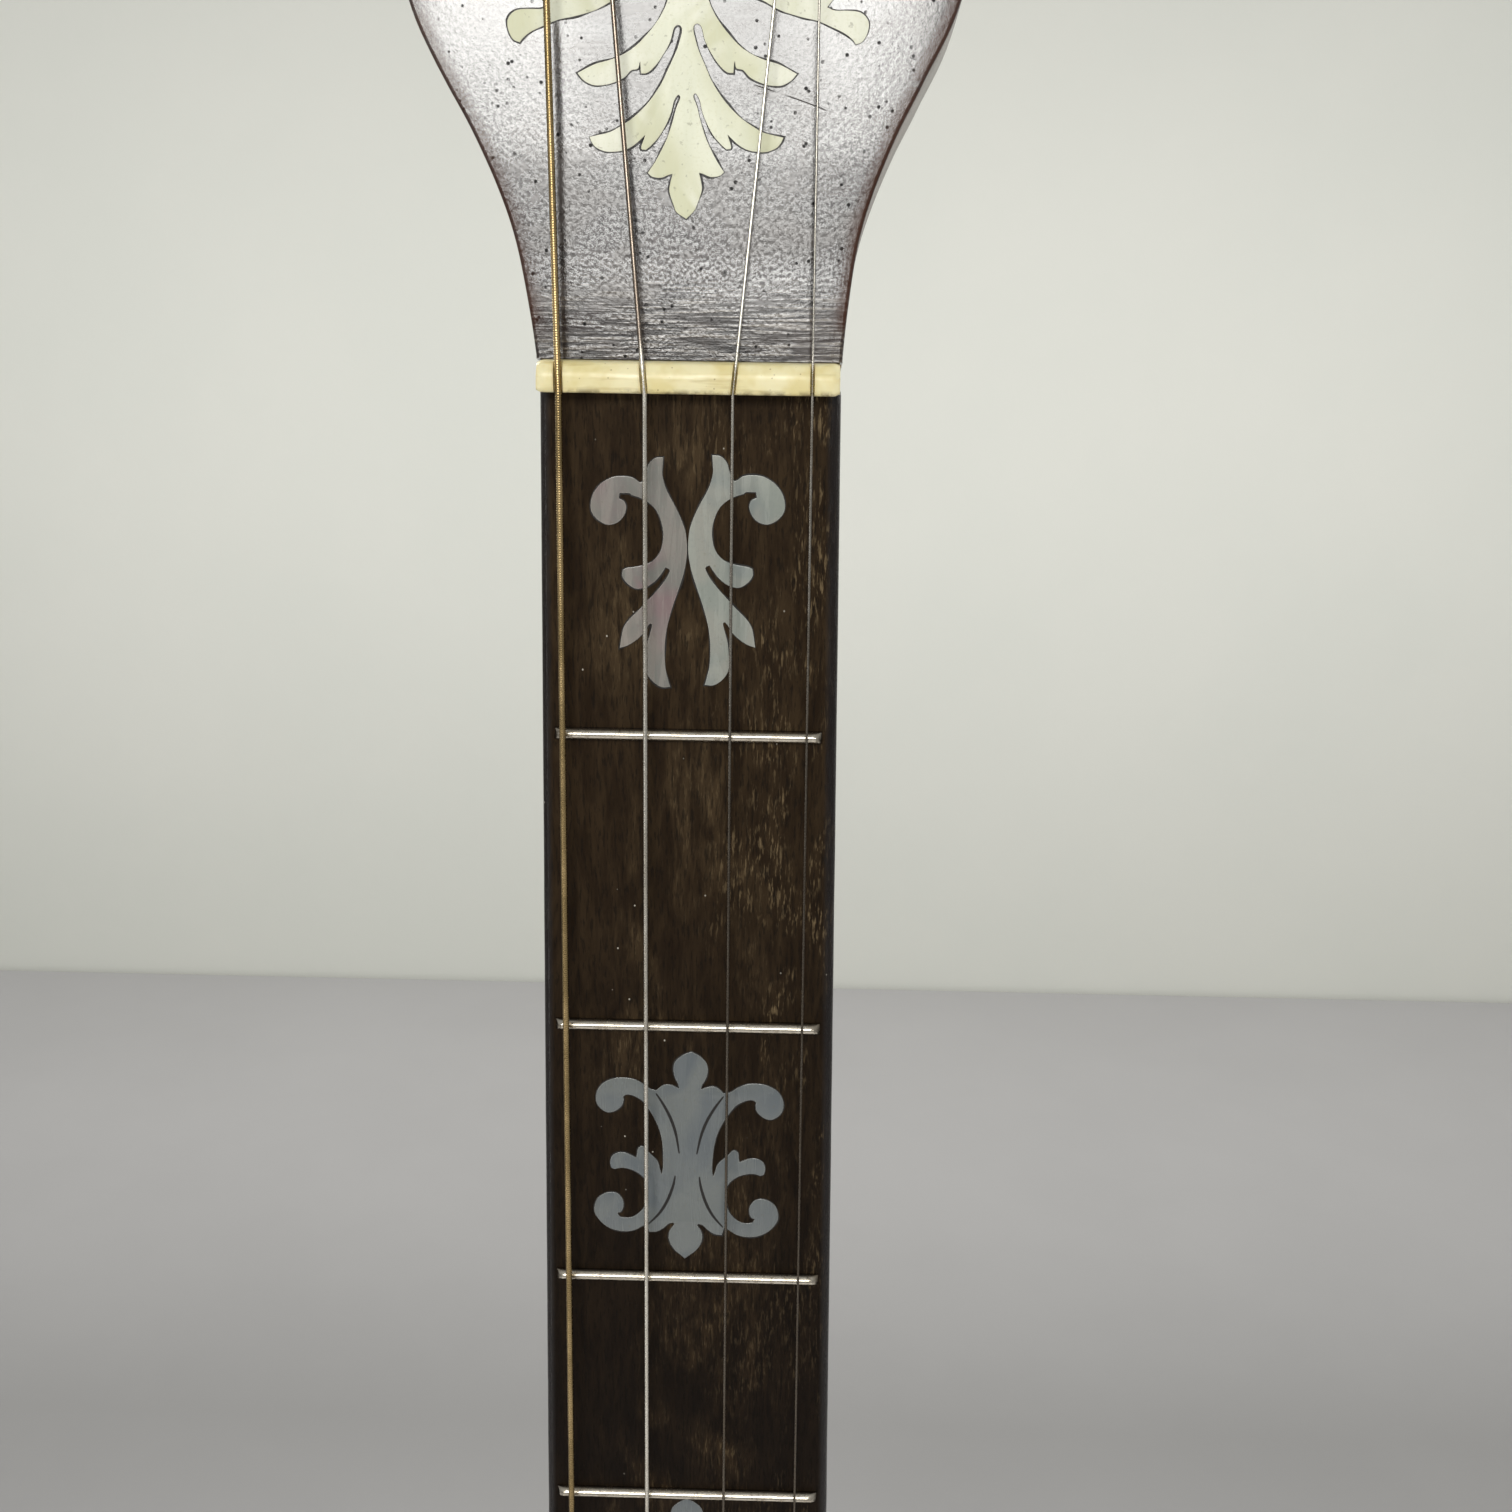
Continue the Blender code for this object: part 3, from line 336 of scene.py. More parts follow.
def piece(name, bm, look, body="banjo", stands_for=(), at=None, sharp=38):
    """Makes an object of a shape, smooth but for its sharp edges, riding on its body. It has its look's slot."""
    mesh = mesh_of(name, bm)
    mesh.shade_smooth()
    mesh.set_sharp_from_angle(angle=math.radians(sharp))
    return placed(name, mesh, look, body, stands_for, at)


def pot_piece(name, bm, look, *stands_for, sharp=38):
    """A piece drawn round the pot's own axis."""
    piece(name, moved(bm, POT), look, stands_for=stands_for, sharp=sharp)


def placed(name, mesh, look, body="banjo", stands_for=(), at=None):
    if not mesh.materials:
        mesh.materials.append(LOOKS[look])
    made = bpy.data.objects.new(name, mesh)
    bpy.context.scene.collection.objects.link(made)
    if at is not None:
        made.matrix_world = at
    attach(made, body)
    if stands_for:
        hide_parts(*stands_for)
    return made


# ---- materials -----------------------------------------------------------------------------------
def tone(*rgb):
    """A colour from 0 to 255 as a screen shows it, made linear."""
    return tuple(((c / 255 + 0.055) / 1.055) ** 2.4 if c > 10.3 else c / 255 / 12.92 for c in rgb)


class Value:
    """A node's output that takes part in sums, each of them a Math node."""

    def __init__(self, look, socket):
        self.look, self.socket = look, socket

    def __add__(self, other):
        return self.look.op("ADD", self, other)

    def __radd__(self, other):
        return self.look.op("ADD", other, self)

    def __sub__(self, other):
        return self.look.op("SUBTRACT", self, other)

    def __rsub__(self, other):
        return self.look.op("SUBTRACT", other, self)

    def __mul__(self, other):
        return self.look.op("MULTIPLY", self, other)

    def __truediv__(self, other):
        return self.look.op("DIVIDE", self, other)

    def __abs__(self):
        return self.look.op("ABSOLUTE", self)


class Look:
    """A material whose nodes are written as expressions."""

    def __init__(self, name):
        self.material = bpy.data.materials.new(name)
        self.material.use_nodes = True
        self.tree = self.material.node_tree
        self.surface = self.tree.nodes["Principled BSDF"]
        self.place = Value(self, self.node("ShaderNodeTexCoord").outputs["Object"])

    def put(self, socket, value):
        if isinstance(value, Value):
            self.tree.links.new(value.socket, socket)
        elif value is not None:
            if socket.type == "RGBA" and len(value) == 3:
                value = (*value, 1.0)
            socket.default_value = value

    def node(self, kind, inputs=(), **settings):
        made = self.tree.nodes.new(kind)
        for key, value in settings.items():
            setattr(made, key, value)
        for key, value in dict(inputs).items():
            self.put(made.inputs[key], value)
        return made

    def at(self, scale=(1, 1, 1), turn=(0, 0, 0), shift=(0, 0, 0)):
        inputs = {"Vector": self.place, "Scale": scale, "Rotation": turn, "Location": shift}
        return Value(self, self.node("ShaderNodeMapping", inputs).outputs[0])

    def noise(self, scale, detail=3.0, rough=0.55, at=None, warp=0.0):
        inputs = {
            "Vector": at or self.place, "Scale": scale, "Detail": detail, "Roughness": rough,
            "Distortion": warp
        }
        return Value(self, self.node("ShaderNodeTexNoise", inputs).outputs[0])

    def cells(self, scale, at=None):
        inputs = {"Vector": at or self.place, "Scale": scale, "Randomness": 1.0}
        return Value(self, self.node("ShaderNodeTexVoronoi", inputs, feature="F1").outputs["Distance"])

    def waves(self, scale, warp, detail, at, grain=1.0):
        inputs = {"Vector": at, "Scale": scale, "Distortion": warp, "Detail": detail, "Detail Scale": grain}
        made = self.node("ShaderNodeTexWave", inputs, wave_type="BANDS", bands_direction="X")
        return Value(self, made.outputs["Fac"])

    def span(self, value, low, high, to_low=0.0, to_high=1.0):
        inputs = {"Value": value, "From Min": low, "From Max": high, "To Min": to_low, "To Max": to_high}
        return Value(
            self, self.node("ShaderNodeMapRange", inputs, interpolation_type="SMOOTHSTEP").outputs[0]
        )

    def op(self, kind, a, b=None):
        made = self.node("ShaderNodeMath", operation=kind)
        self.put(made.inputs[0], a)
        self.put(made.inputs[1], b)
        return Value(self, made.outputs[0])

    def axes(self, place=None):
        made = self.node("ShaderNodeSeparateXYZ", {"Vector": place or self.place})
        return [Value(self, made.outputs[axis]) for axis in "XYZ"]

    def vector(self, x, y, z):
        return Value(self, self.node("ShaderNodeCombineXYZ", {"X": x, "Y": y, "Z": z}).outputs[0])

    def mix(self, amount, a, b):
        made = self.node("ShaderNodeMix", data_type="RGBA", blend_type="MIX")
        self.put(made.inputs[0], amount)
        self.put(made.inputs[6], a)
        self.put(made.inputs[7], b)
        return Value(self, made.outputs[2])

    def bump(self, height, millimetres, normal=None):
        inputs = {"Height": height, "Distance": millimetres / 1000, "Strength": 1.0, "Normal": normal}
        return Value(self, self.node("ShaderNodeBump", inputs).outputs[0])

    def edge(self, millimetres):
        """1 where the surface bends sharply, as worn edges do, and 0 on flat ground."""
        bevel = self.node("ShaderNodeBevel", {"Radius": millimetres / 1000}, samples=4).outputs[0]
        normal = self.node("ShaderNodeNewGeometry").outputs["Normal"]
        dot = self.node("ShaderNodeVectorMath", operation="DOT_PRODUCT")
        self.put(dot.inputs[0], Value(self, bevel))
        self.put(dot.inputs[1], Value(self, normal))
        return self.span(Value(self, dot.outputs["Value"]), 0.995, 0.90)

    def made(self, **values):
        for key, value in values.items():
            self.put(self.surface.inputs[key.replace("_", " ")], value)
        return self.material


def ebonised_board():
    """Dark stained fingerboard: fine pores along the neck, drifts of tan flecks, polished long edges."""
    look = Look("ebonised fingerboard")
    pores = look.noise(3200, 3, 0.62, look.at(scale=(1, 1, 0.14)))
    flecks = look.noise(3000, 3, 0.62, look.at(scale=(1, 1, 0.17), turn=(0, 0.12, 0)), 0.2)
    streaks = look.noise(700, 4, 0.66, look.at(scale=(1, 1, 0.16)), 0.6)
    broad = look.noise(75, 3, 0.6, look.at(scale=(1, 1, 0.5)), 0.8)
    drift = look.noise(150, 3, 0.62, look.at(scale=(1, 1, 0.45), turn=(0, 0.15, 0)), 0.8)
    x, _, z = look.axes()
    middle = look.span(abs(x), 0.0145, 0.003)
    worn = look.span(broad, 0.46, 0.68) * middle
    worn = worn * look.span(streaks, 0.36, 0.62, 0.2, 1.0)
    right = look.span(x, -0.002, 0.009) * look.span(drift, 0.44, 0.62)
    right = right * look.span(z, -0.125, -0.085, 0.25, 1.0)
    first = look.span(z, -0.150, -0.030)
    dark = look.mix(first, tone(15, 8, 3), tone(35, 24, 12))
    base = look.mix(look.span(streaks, 0.34, 0.70), dark, look.mix(first, tone(27, 18, 9), tone(53, 40, 24)))
    base = look.mix(worn * 0.7, base, look.mix(first, tone(58, 44, 28), tone(80, 65, 45)))
    fleck = look.span(flecks, 0.5, 0.66) * look.op("MAXIMUM", worn * 0.55, right)
    base = look.mix(fleck * 0.75, base, tone(124, 106, 78))
    base = look.mix(look.span(pores, 0.52, 0.64, 0.0, 0.6), base, tone(12, 8, 4))
    half = NUT_EDGE + (NUT_Z - z) * (NECK_TAPER / 2)
    rim = look.span(half - abs(x), 0.0012, 0.0003)
    base = look.mix(rim * 0.85, base, tone(16, 10, 9))
    dust = look.cells(520, look.at(scale=(1, 1, 0.8)))
    speck = look.span(dust, 0.06, 0.035) * look.span(look.noise(85, 2), 0.54, 0.6)
    base = look.mix(speck * 0.8, base, tone(196, 190, 176))
    rough = look.span(streaks, 0.2, 0.8, 0.40, 0.54)
    rough = rough + look.span(pores, 0.5, 0.62) * 0.16
    rough = rough - rim * 0.24
    bump = look.bump(look.span(pores, 0.64, 0.50), 0.018)
    bump = look.bump(streaks, 0.030, bump)
    bump = look.bump(flecks, 0.010, bump)
    shine = 0.1 + rim * 0.4
    return look.made(Base_Color=base, Roughness=rough, Normal=bump, Specular_IOR_Level=shine)


def headstock_lacquer():
    """Old black lacquer: stippled and crazed, rubbed brown along its edges. In the headstock's frame."""
    look = Look("black headstock lacquer")
    x, _, z = look.axes()
    stipple = look.noise(2550, 4, 0.70)
    pebble = look.noise(1300, 3, 0.60)
    cloud = look.noise(170, 4, 0.64, look.at(scale=(0.7, 1, 1.2)), 0.6)
    grain = look.noise(3300, 3, 0.62, look.at(scale=(0.04, 1, 1), turn=(0, 0.02, 0)))
    rubs = look.noise(520, 3, 0.6, look.at(scale=(0.08, 1, 1), turn=(0, -0.10, 0)), 0.3)
    low = look.span(z, 0.0105, 0.0035)
    dull = look.span(z, 0.037, 0.008)
    pits = look.cells(900)
    pit = look.span(pits, 0.2, 0.12) * look.span(look.noise(330, 3), 0.46, 0.58)
    patches = look.span(look.noise(260, 4, 0.66), 0.42, 0.62)
    base = look.mix(look.span(cloud, 0.35, 0.70), tone(34, 31, 31), tone(62, 54, 50))
    base = look.mix(low * look.span(grain, 0.46, 0.64), base, tone(92, 82, 70))
    base = look.mix(low * look.span(rubs, 0.52, 0.66, 0.0, 0.8), base, tone(40, 28, 24))
    base = look.mix(pit, base, tone(8, 7, 7))
    side = look.edge(3.2) * look.span(z, 0.0015, 0.005)
    rubbed = side * look.span(look.noise(260, 3, 0.6), 0.22, 0.46)
    base = look.mix(rubbed, base, tone(74, 42, 26))
    scratch = look.waves(38, 1.2, 1, look.at(turn=(0, math.radians(70), 0)))
    scratch = look.span(scratch, 0.9993, 0.9999) * look.span(look.noise(95, 2), 0.6, 0.64)
    marks = look.op("MAXIMUM", look.op("MAXIMUM", rubbed, pit), scratch)
    # Where it is handled, by the nut, the gloss breaks up into bright and dull grains.
    middle = look.span(abs(x), 0.0175, 0.007) * look.span(z, 0.012, 0.03)
    veil = middle * look.span(cloud, 0.3, 0.62, 0.22, 0.3)
    band = look.span(z, 0.0235, 0.019) * look.span(z, 0.0085, 0.012)
    veil = look.op("MAXIMUM", veil, band * look.span(cloud, 0.3, 0.64, 0.27, 0.33))
    veil = look.op("MAXIMUM", veil, patches * (dull * 0.07))
    strength = 0.1 + dull * 0.54
    broken = look.span(stipple, 0.54, 0.42) * strength
    broken = look.op("MAXIMUM", broken, low * look.span(grain, 0.54, 0.46, 0.0, 0.75))
    broken = 1.0 - (1.0 - broken) * (1.0 - veil)
    gloss = (1.0 - broken) * (1.0 - marks * 0.85)
    rough = look.span(cloud, 0.3, 0.7, 0.09, 0.17) + marks * 0.4
    bump = look.bump(pebble, 0.030)
    bump = look.bump(stipple, 0.024, bump)
    bump = look.bump(cloud, 0.030, bump)
    bump = look.bump(grain * low, 0.02, bump)
    bump = look.bump(1.0 - look.op("MAXIMUM", pit, scratch), 0.03, bump)
    shine, coat = gloss * 1.12, gloss * 0.6
    return look.made(
        Base_Color=base, Roughness=rough, Normal=bump, Specular_IOR_Level=shine, Coat_Weight=coat,
        Coat_Roughness=0.1,
    )  # fmt: skip


def stained_wood(name, dark, light, pore, along, rough=(0.28, 0.42), coat=0.25, pore_scale=2600, worn=None):
    """Wood with its grain along one axis: the scale vector squeezes that axis."""
    look = Look(name)
    squeezed = look.at(scale=along)
    figure = look.noise(210, 4, 0.6, squeezed, 1.2)
    streaks = look.noise(900, 3, 0.62, squeezed, 0.4)
    pores = look.noise(pore_scale, 2, 0.6, squeezed)
    base = look.mix(look.span(figure, 0.34, 0.68), dark, light)
    base = look.mix(look.span(streaks, 0.40, 0.66, 0.0, 0.55), base, pore)
    base = look.mix(look.span(pores, 0.55, 0.64, 0.0, 0.85), base, pore)
    if worn:
        base = look.mix(look.edge(0.8) * 0.7, base, worn)
    smear = look.noise(45, 3, 0.6)
    finish = look.span(smear, 0.3, 0.7, *rough)
    bump = look.bump(look.span(pores, 0.62, 0.52), 0.014)
    bump = look.bump(streaks, 0.012, bump)
    return look.made(Base_Color=base, Roughness=finish, Normal=bump, Coat_Weight=coat, Coat_Roughness=0.12)


def round_wood(name, dark, light, pore, layer=0.0):
    """Bent wood for the rim: the grain runs round the pot, in glued layers."""
    look = Look(name)
    x, y, z = look.axes(look.at(shift=(0, -HEAD_Y, -POT_Z)))
    radius = look.op("SQRT", x * x + z * z)
    turn = look.op("ARCTAN2", x, z) * RIM_RADIUS
    unrolled = look.vector(radius, y, turn * 0.05)
    figure = look.noise(130, 4, 0.6, unrolled, 1.0)
    streaks = look.noise(900, 3, 0.62, unrolled, 0.5)
    flame = look.noise(95, 2, 0.5, look.vector(radius, y * 0.15, turn))
    base = look.mix(look.span(figure, 0.32, 0.70), dark, light)
    base = look.mix(look.span(flame, 0.42, 0.62, 0.0, 0.35), base, light)
    base = look.mix(look.span(streaks, 0.46, 0.70, 0.0, 0.5), base, pore)
    if layer:
        seam = abs(look.op("FRACT", radius / layer) - 0.5)
        base = look.mix(look.span(seam, 0.06, 0.025, 0.0, 0.75), base, pore)
    finish = look.span(look.noise(60, 3), 0.3, 0.7, 0.26, 0.42)
    bump = look.bump(streaks, 0.012)
    return look.made(Base_Color=base, Roughness=finish, Normal=bump, Coat_Weight=0.4, Coat_Roughness=0.15)


def plated(name, bright, dull, spots):
    """Plated metal with a cloudy tarnish, fine scratches and darker spots."""
    look = Look(name)
    cloud = look.noise(110, 4, 0.65)
    fine = look.noise(900, 3, 0.6)
    scratches = look.noise(2800, 2, 0.5, look.at(scale=(1, 0.08, 0.3), turn=(0.3, 0.2, 0.5)))
    base = look.mix(look.span(cloud, 0.36, 0.66, 0.0, 0.5), bright, dull)
    base = look.mix(look.span(fine, 0.60, 0.72, 0.0, 0.5), base, spots)
    finish = look.span(cloud, 0.3, 0.7, 0.14, 0.34)
    finish = finish + look.span(scratches, 0.55, 0.75, 0.0, 0.12)
    bump = look.bump(scratches, 0.004)
    bump = look.bump(fine, 0.004, bump)
    return look.made(Base_Color=base, Roughness=finish, Normal=bump, Metallic=1.0)


def fret_metal():
    """Nickel silver: bright along the crown and darker down its flanks to the wood. That is a little grime at
    the foot, with painted shade and a painted reflection of the dark board.
    """
    look = Look("nickel silver fret")
    y = look.axes()[1]
    height = look.span(y, BOARD_TOP_Y + 0.0001, BOARD_TOP_Y - 0.0008)
    cloud = look.noise(650, 4, 0.65)
    polish = look.noise(5200, 2, 0.5, look.at(scale=(1, 1, 0.10)))
    # Painted shade over a little grime: the colour darkens from the crown down to the board, standing in for the
    # dark board that the flanks reflect.
    base = look.mix(height, tone(70, 54, 40), tone(212, 204, 188))
    base = look.mix(look.span(cloud, 0.46, 0.66, 0.0, 0.45), base, tone(132, 114, 88))
    base = look.mix(look.span(look.noise(1900, 3), 0.60, 0.70, 0.0, 0.5), base, tone(70, 56, 40))
    finish = look.span(cloud, 0.3, 0.7, 0.16, 0.30)
    bump = look.bump(polish, 0.002)
    bump = look.bump(cloud, 0.006, bump)
    return look.made(Base_Color=base, Roughness=finish, Normal=bump, Metallic=1.0)


def old_bone():
    """Yellowed bone: faint streaks across the neck, dark grains and stained edges."""
    look = Look("aged bone")
    streaks = look.noise(900, 3, 0.6, look.at(scale=(0.10, 1, 1)))
    cloud = look.noise(240, 3, 0.6)
    base = look.mix(look.span(cloud, 0.35, 0.68), tone(238, 229, 186), tone(224, 210, 152))
    base = look.mix(look.span(streaks, 0.54, 0.68, 0.0, 0.40), base, tone(186, 166, 108))
    grains = look.cells(1100)
    base = look.mix(look.span(grains, 0.13, 0.06, 0.0, 0.55), base, tone(130, 104, 62))
    base = look.mix(look.edge(0.5) * 0.45, base, tone(196, 172, 116))
    z = look.axes()[2]
    # Darker in blotches across the front face, toward the fingerboard.
    darker_front_face = look.span(z, NUT_Z + 0.0008, NUT_Z + 0.0001) * look.span(look.noise(420, 4, 0.7), 0.44, 0.62)
    base = look.mix(darker_front_face * 0.7, base, tone(92, 72, 42))
    finish = look.span(cloud, 0.3, 0.7, 0.28, 0.44)
    bump = look.bump(look.noise(1500, 4, 0.6), 0.020)
    bump = look.bump(streaks, 0.012, bump)
    return look.made(
        Base_Color=base, Roughness=finish, Normal=bump, Subsurface_Weight=0.12,
        Subsurface_Radius=(0.9, 0.7, 0.4), Subsurface_Scale=0.001,
    )  # fmt: skip


def shell(name, base, second, third, sheen, warp=3.0, strength=1.0, speck=0.25, coat=0.4, rough=(0.20, 0.32)):
    """Mother-of-pearl: broad silky bands that turn softly from one tint to another."""
    look = Look(name)
    bands = look.waves(34, warp, 2, look.at(scale=(1, 1, 0.6), turn=(0, 0.6, 0)), 1.4)
    cloud = look.noise(120, 2, 0.5, look.at(turn=(0, 0.9, 0)), 1.0)
    silk = look.noise(900, 3, 0.6, look.at(scale=(1, 1, 0.12), turn=(0, 0.5, 0)), 0.5)
    colour = look.mix(look.span(bands, 0.05, 0.95), base, second)
    colour = look.mix(look.span(cloud, 0.40, 0.66), colour, third)
    colour = look.mix(look.span(silk, 0.40, 0.70, 0.0, 0.45 * strength), colour, sheen)
    colour = look.mix(look.span(look.noise(1500, 3), 0.62, 0.72, 0.0, speck), colour, tone(104, 98, 76))
    colour = look.mix(look.span(look.noise(2600, 3, 0.6), 0.50, 0.70, 0.0, speck), colour, second)
    # Painted highlight: the rounded edges are painted pale cream, as though they caught the light.
    colour = look.mix(look.edge(0.14) * 0.65, colour, tone(226, 222, 208))
    bump = look.bump(silk, 0.005)
    bump = look.bump(cloud, 0.030, bump)
    finish = look.span(silk, 0.3, 0.7, *rough)
    return look.made(
        Base_Color=colour, Roughness=finish, Normal=bump, Coat_Weight=coat, Coat_Roughness=0.16,
        Specular_IOR_Level=0.25 + 0.5 * coat,
    )  # fmt: skip


def drawn_wire(name, bright, dull, spots, played_and_shaded=None, shaded_beyond_nut=None):
    """Wire with a little tarnish. It may be painted darker along the board, and above the nut. That is some
    tarnish, and painted shade where the wire reflects little light.
    """
    look = Look(name)
    cloud = look.noise(130, 3, 0.6)
    fine = look.noise(2400, 3, 0.6)
    base = look.mix(look.span(cloud, 0.38, 0.66), bright, dull)
    base = look.mix(look.span(fine, 0.60, 0.72, 0.0, 0.5), base, spots)
    # Painted shade over some tarnish: darker down the board from the nut. A painted reflection keeps it bright
    # just above the nut.
    if played_and_shaded:
        z = look.axes()[2]
        base = look.mix(look.span(z, NUT_Z, NUT_Z - 0.055, 0.35, 0.92), base, played_and_shaded)
        base = look.mix(look.span(z, NUT_Z + 0.002, NUT_Z + 0.004), base, bright)
    # Painted shade over some tarnish: darker over the headstock, above the nut.
    if shaded_beyond_nut:
        base = look.mix(look.span(look.axes()[2], NUT_Z + 0.003, NUT_Z + 0.006, 0.0, 0.85), base, shaded_beyond_nut)
    finish = look.span(fine, 0.3, 0.7, 0.20, 0.32)
    return look.made(Base_Color=base, Roughness=finish, Normal=look.bump(fine, 0.001), Metallic=1.0)


def coated_skin():
    """The drum head: a rough white coating, rubbed thin where fingers rest."""
    look = Look("coated drum head")
    grain = look.noise(1500, 4, 0.7)
    specks = look.cells(950)
    cloud = look.noise(28, 4, 0.6)
    x, _, z = look.axes(look.at(shift=(-0.030, 0, 0.735)))
    near = look.op("SQRT", x * x + z * z)
    rubbed = look.span(near, 0.055, 0.012) * look.span(cloud, 0.3, 0.7, 0.35, 1.0)
    base = look.mix(look.span(cloud, 0.3, 0.7), tone(236, 233, 223), tone(226, 221, 208))
    base = look.mix(look.span(specks, 0.20, 0.08, 0.0, 0.35), base, tone(198, 192, 178))
    base = look.mix(rubbed * 0.55, base, tone(196, 186, 164))
    finish = look.span(grain, 0.3, 0.7, 0.62, 0.78) - rubbed * 0.2
    return look.made(
        Base_Color=base, Roughness=finish, Normal=look.bump(grain, 0.035), Subsurface_Weight=0.05
    )


def dark_filler():
    look = Look("inlay filler")
    fine = look.noise(2600, 3, 0.6)
    base = look.mix(fine, tone(9, 8, 7), tone(34, 29, 25))
    return look.made(
        Base_Color=base, Roughness=look.span(fine, 0.3, 0.7, 0.42, 0.66), Normal=look.bump(fine, 0.012)
    )


def painted_surface(name, base, second, scale, height):
    look = Look(name)
    cloud = look.noise(scale, 4, 0.6)
    fine = look.noise(scale * 40, 3, 0.6)
    colour = look.mix(look.span(cloud, 0.3, 0.7), base, second)
    return look.made(Base_Color=colour, Roughness=0.8, Normal=look.bump(fine, height), Specular_IOR_Level=0.2)


LOOKS = {
    "board": ebonised_board(),
    "lacquer": headstock_lacquer(),
    "mahogany": stained_wood(
        "stained mahogany", tone(58, 30, 20), tone(92, 50, 30), tone(26, 14, 10), (1, 1, 0.05),
        worn=tone(128, 78, 48),
    ),
    "stick": stained_wood(
        "bare maple", tone(196, 164, 116), tone(216, 188, 142), tone(150, 116, 74), (1, 1, 0.05),
        (0.45, 0.60), 0.05,
        3400,
    ),
    "bridge": stained_wood(
        "bridge maple", tone(200, 168, 118), tone(222, 194, 146), tone(146, 108, 66), (0.06, 1, 1),
        (0.45, 0.60), 0.05,
        3400,
    ),
    "ebony": stained_wood(
        "ebony cap", tone(20, 17, 15), tone(38, 32, 28), tone(8, 7, 6), (0.06, 1, 1), (0.30, 0.45), 0.1,
    ),
    "rim": round_wood("amber maple", tone(138, 86, 44), tone(186, 128, 72), tone(92, 54, 28), 0.0042),
    "rim_cap": round_wood("dark rim cap", tone(40, 26, 20), tone(58, 38, 28), tone(20, 13, 10)),
    "bone": old_bone(),
    "fret": fret_metal(),
    "nickel": plated("nickel plate", tone(206, 201, 190), tone(176, 168, 150), tone(122, 108, 84)),
    "brass": plated("brass", tone(214, 176, 104), tone(180, 138, 74), tone(110, 78, 40)),
    "steel": drawn_wire(
        "bright string steel", tone(236, 231, 218), tone(206, 198, 182), tone(140, 126, 104),
        shaded_beyond_nut=tone(112, 96, 84),
    ),
    "thin_steel": drawn_wire(
        "thin string steel", tone(226, 220, 208), tone(196, 188, 174), tone(116, 104, 90), tone(86, 76, 64),
        shaded_beyond_nut=tone(150, 146, 138),
    ),
    "aged_shaded_steel": drawn_wire(
        "aged, shaded string steel", tone(236, 231, 218), tone(200, 192, 178), tone(120, 108, 92), tone(88, 78, 66),
    ),
    "winding": drawn_wire("bronze winding", tone(196, 170, 122), tone(158, 136, 94), tone(88, 72, 48)),
    "cream": shell(
        "cream mother-of-pearl", tone(233, 234, 212), tone(214, 214, 182), tone(238, 238, 220),
        tone(220, 223, 202),
        3.0, 0.6, 0.35, 0.0, (0.42, 0.56),
    ),
    "pearl": shell(
        "silver mother-of-pearl", tone(141, 146, 138), tone(127, 133, 130), tone(152, 152, 143),
        tone(162, 165, 156),
    ),
    "rose": shell(
        "rose mother-of-pearl", tone(138, 132, 124), tone(132, 114, 114), tone(122, 122, 116),
        tone(158, 150, 142),
    ),
    "blue": shell(
        "blue mother-of-pearl", tone(102, 107, 108), tone(97, 103, 106), tone(111, 115, 113),
        tone(115, 119, 118), 2.0,
        0.7,
    ),
    "pearloid": shell(
        "pearloid", tone(228, 223, 208), tone(206, 199, 182), tone(240, 236, 226), tone(216, 214, 204), 6.0,
    ),
    "skin": coated_skin(),
    "filler": dark_filler(),
}  # fmt: skip


# ---- neck and headstock --------------------------------------------------------------------------
NECK_TOP = BOARD_THICK + FINE_GAP
HEADSTOCK_SHIFT = (-0.0011, 0.030)
HEADSTOCK_EDGE = (
    (0.0161, 0.000), (0.0167, 0.005), (0.0179, 0.012), (0.0196, 0.0175), (0.0222, 0.0235), (0.0251, 0.029),
    (0.0282, 0.0355), (0.0301, 0.043), (0.0304, 0.051), (0.0291, 0.060), (0.0277, 0.069), (0.0275, 0.078),
    (0.0291, 0.088), (0.0318, 0.097), (0.0337, 0.106), (0.0332, 0.114), (0.0296, 0.1195), (0.0242, 0.1210),
    (0.0190, 0.1208), (0.0140, 0.1235), (0.0090, 0.1300), (0.0040, 0.1355), (0.0000, 0.1370),
)  # fmt: skip
NECK_STATIONS = (
    (-0.0240, 0.0090, 0.0270, 0.0096, 0.90), (-0.0130, 0.0070, 0.0305, 0.0118, 0.85),
    (-0.0033, NECK_TOP, 0.03125, 0.0149, 0.80), (0.0100, NECK_TOP, 0.031555, 0.0146, 0.80),
    (0.1200, NECK_TOP, 0.03491, 0.0155, 0.80), (0.2500, NECK_TOP, 0.038875, 0.0168, 0.80),
    (0.3800, NECK_TOP, 0.04284, 0.0185, 0.80), (0.4200, NECK_TOP, 0.04406, 0.0200, 0.85),
    (0.4400, NECK_TOP, 0.044548, 0.0240, 0.95), (0.4560, NECK_TOP, 0.044914, 0.0330, 1.10),
    (0.4700, NECK_TOP, 0.045158, 0.0440, 1.25), (0.4820, NECK_TOP, 0.04528, 0.0525, 1.35),
    (0.4930, NECK_TOP, 0.045341, 0.0558, 1.35), (0.5150, NECK_TOP, 0.045341, 0.0560, 1.35),
)  # fmt: skip


def fret_place(number):
    return SCALE * (1 - 2 ** (-number / 12))


def width_at(down):
    return NECK_WIDTH + NECK_TAPER * down


def headstock_outline():
    half = curve_through(HEADSTOCK_EDGE, 6)
    outline = half + [(-x, z) for x, z in reversed(half[:-1])]
    shift, full_at = HEADSTOCK_SHIFT
    return [(x + shift * min(1.0, z / full_at), z) for x, z in outline]


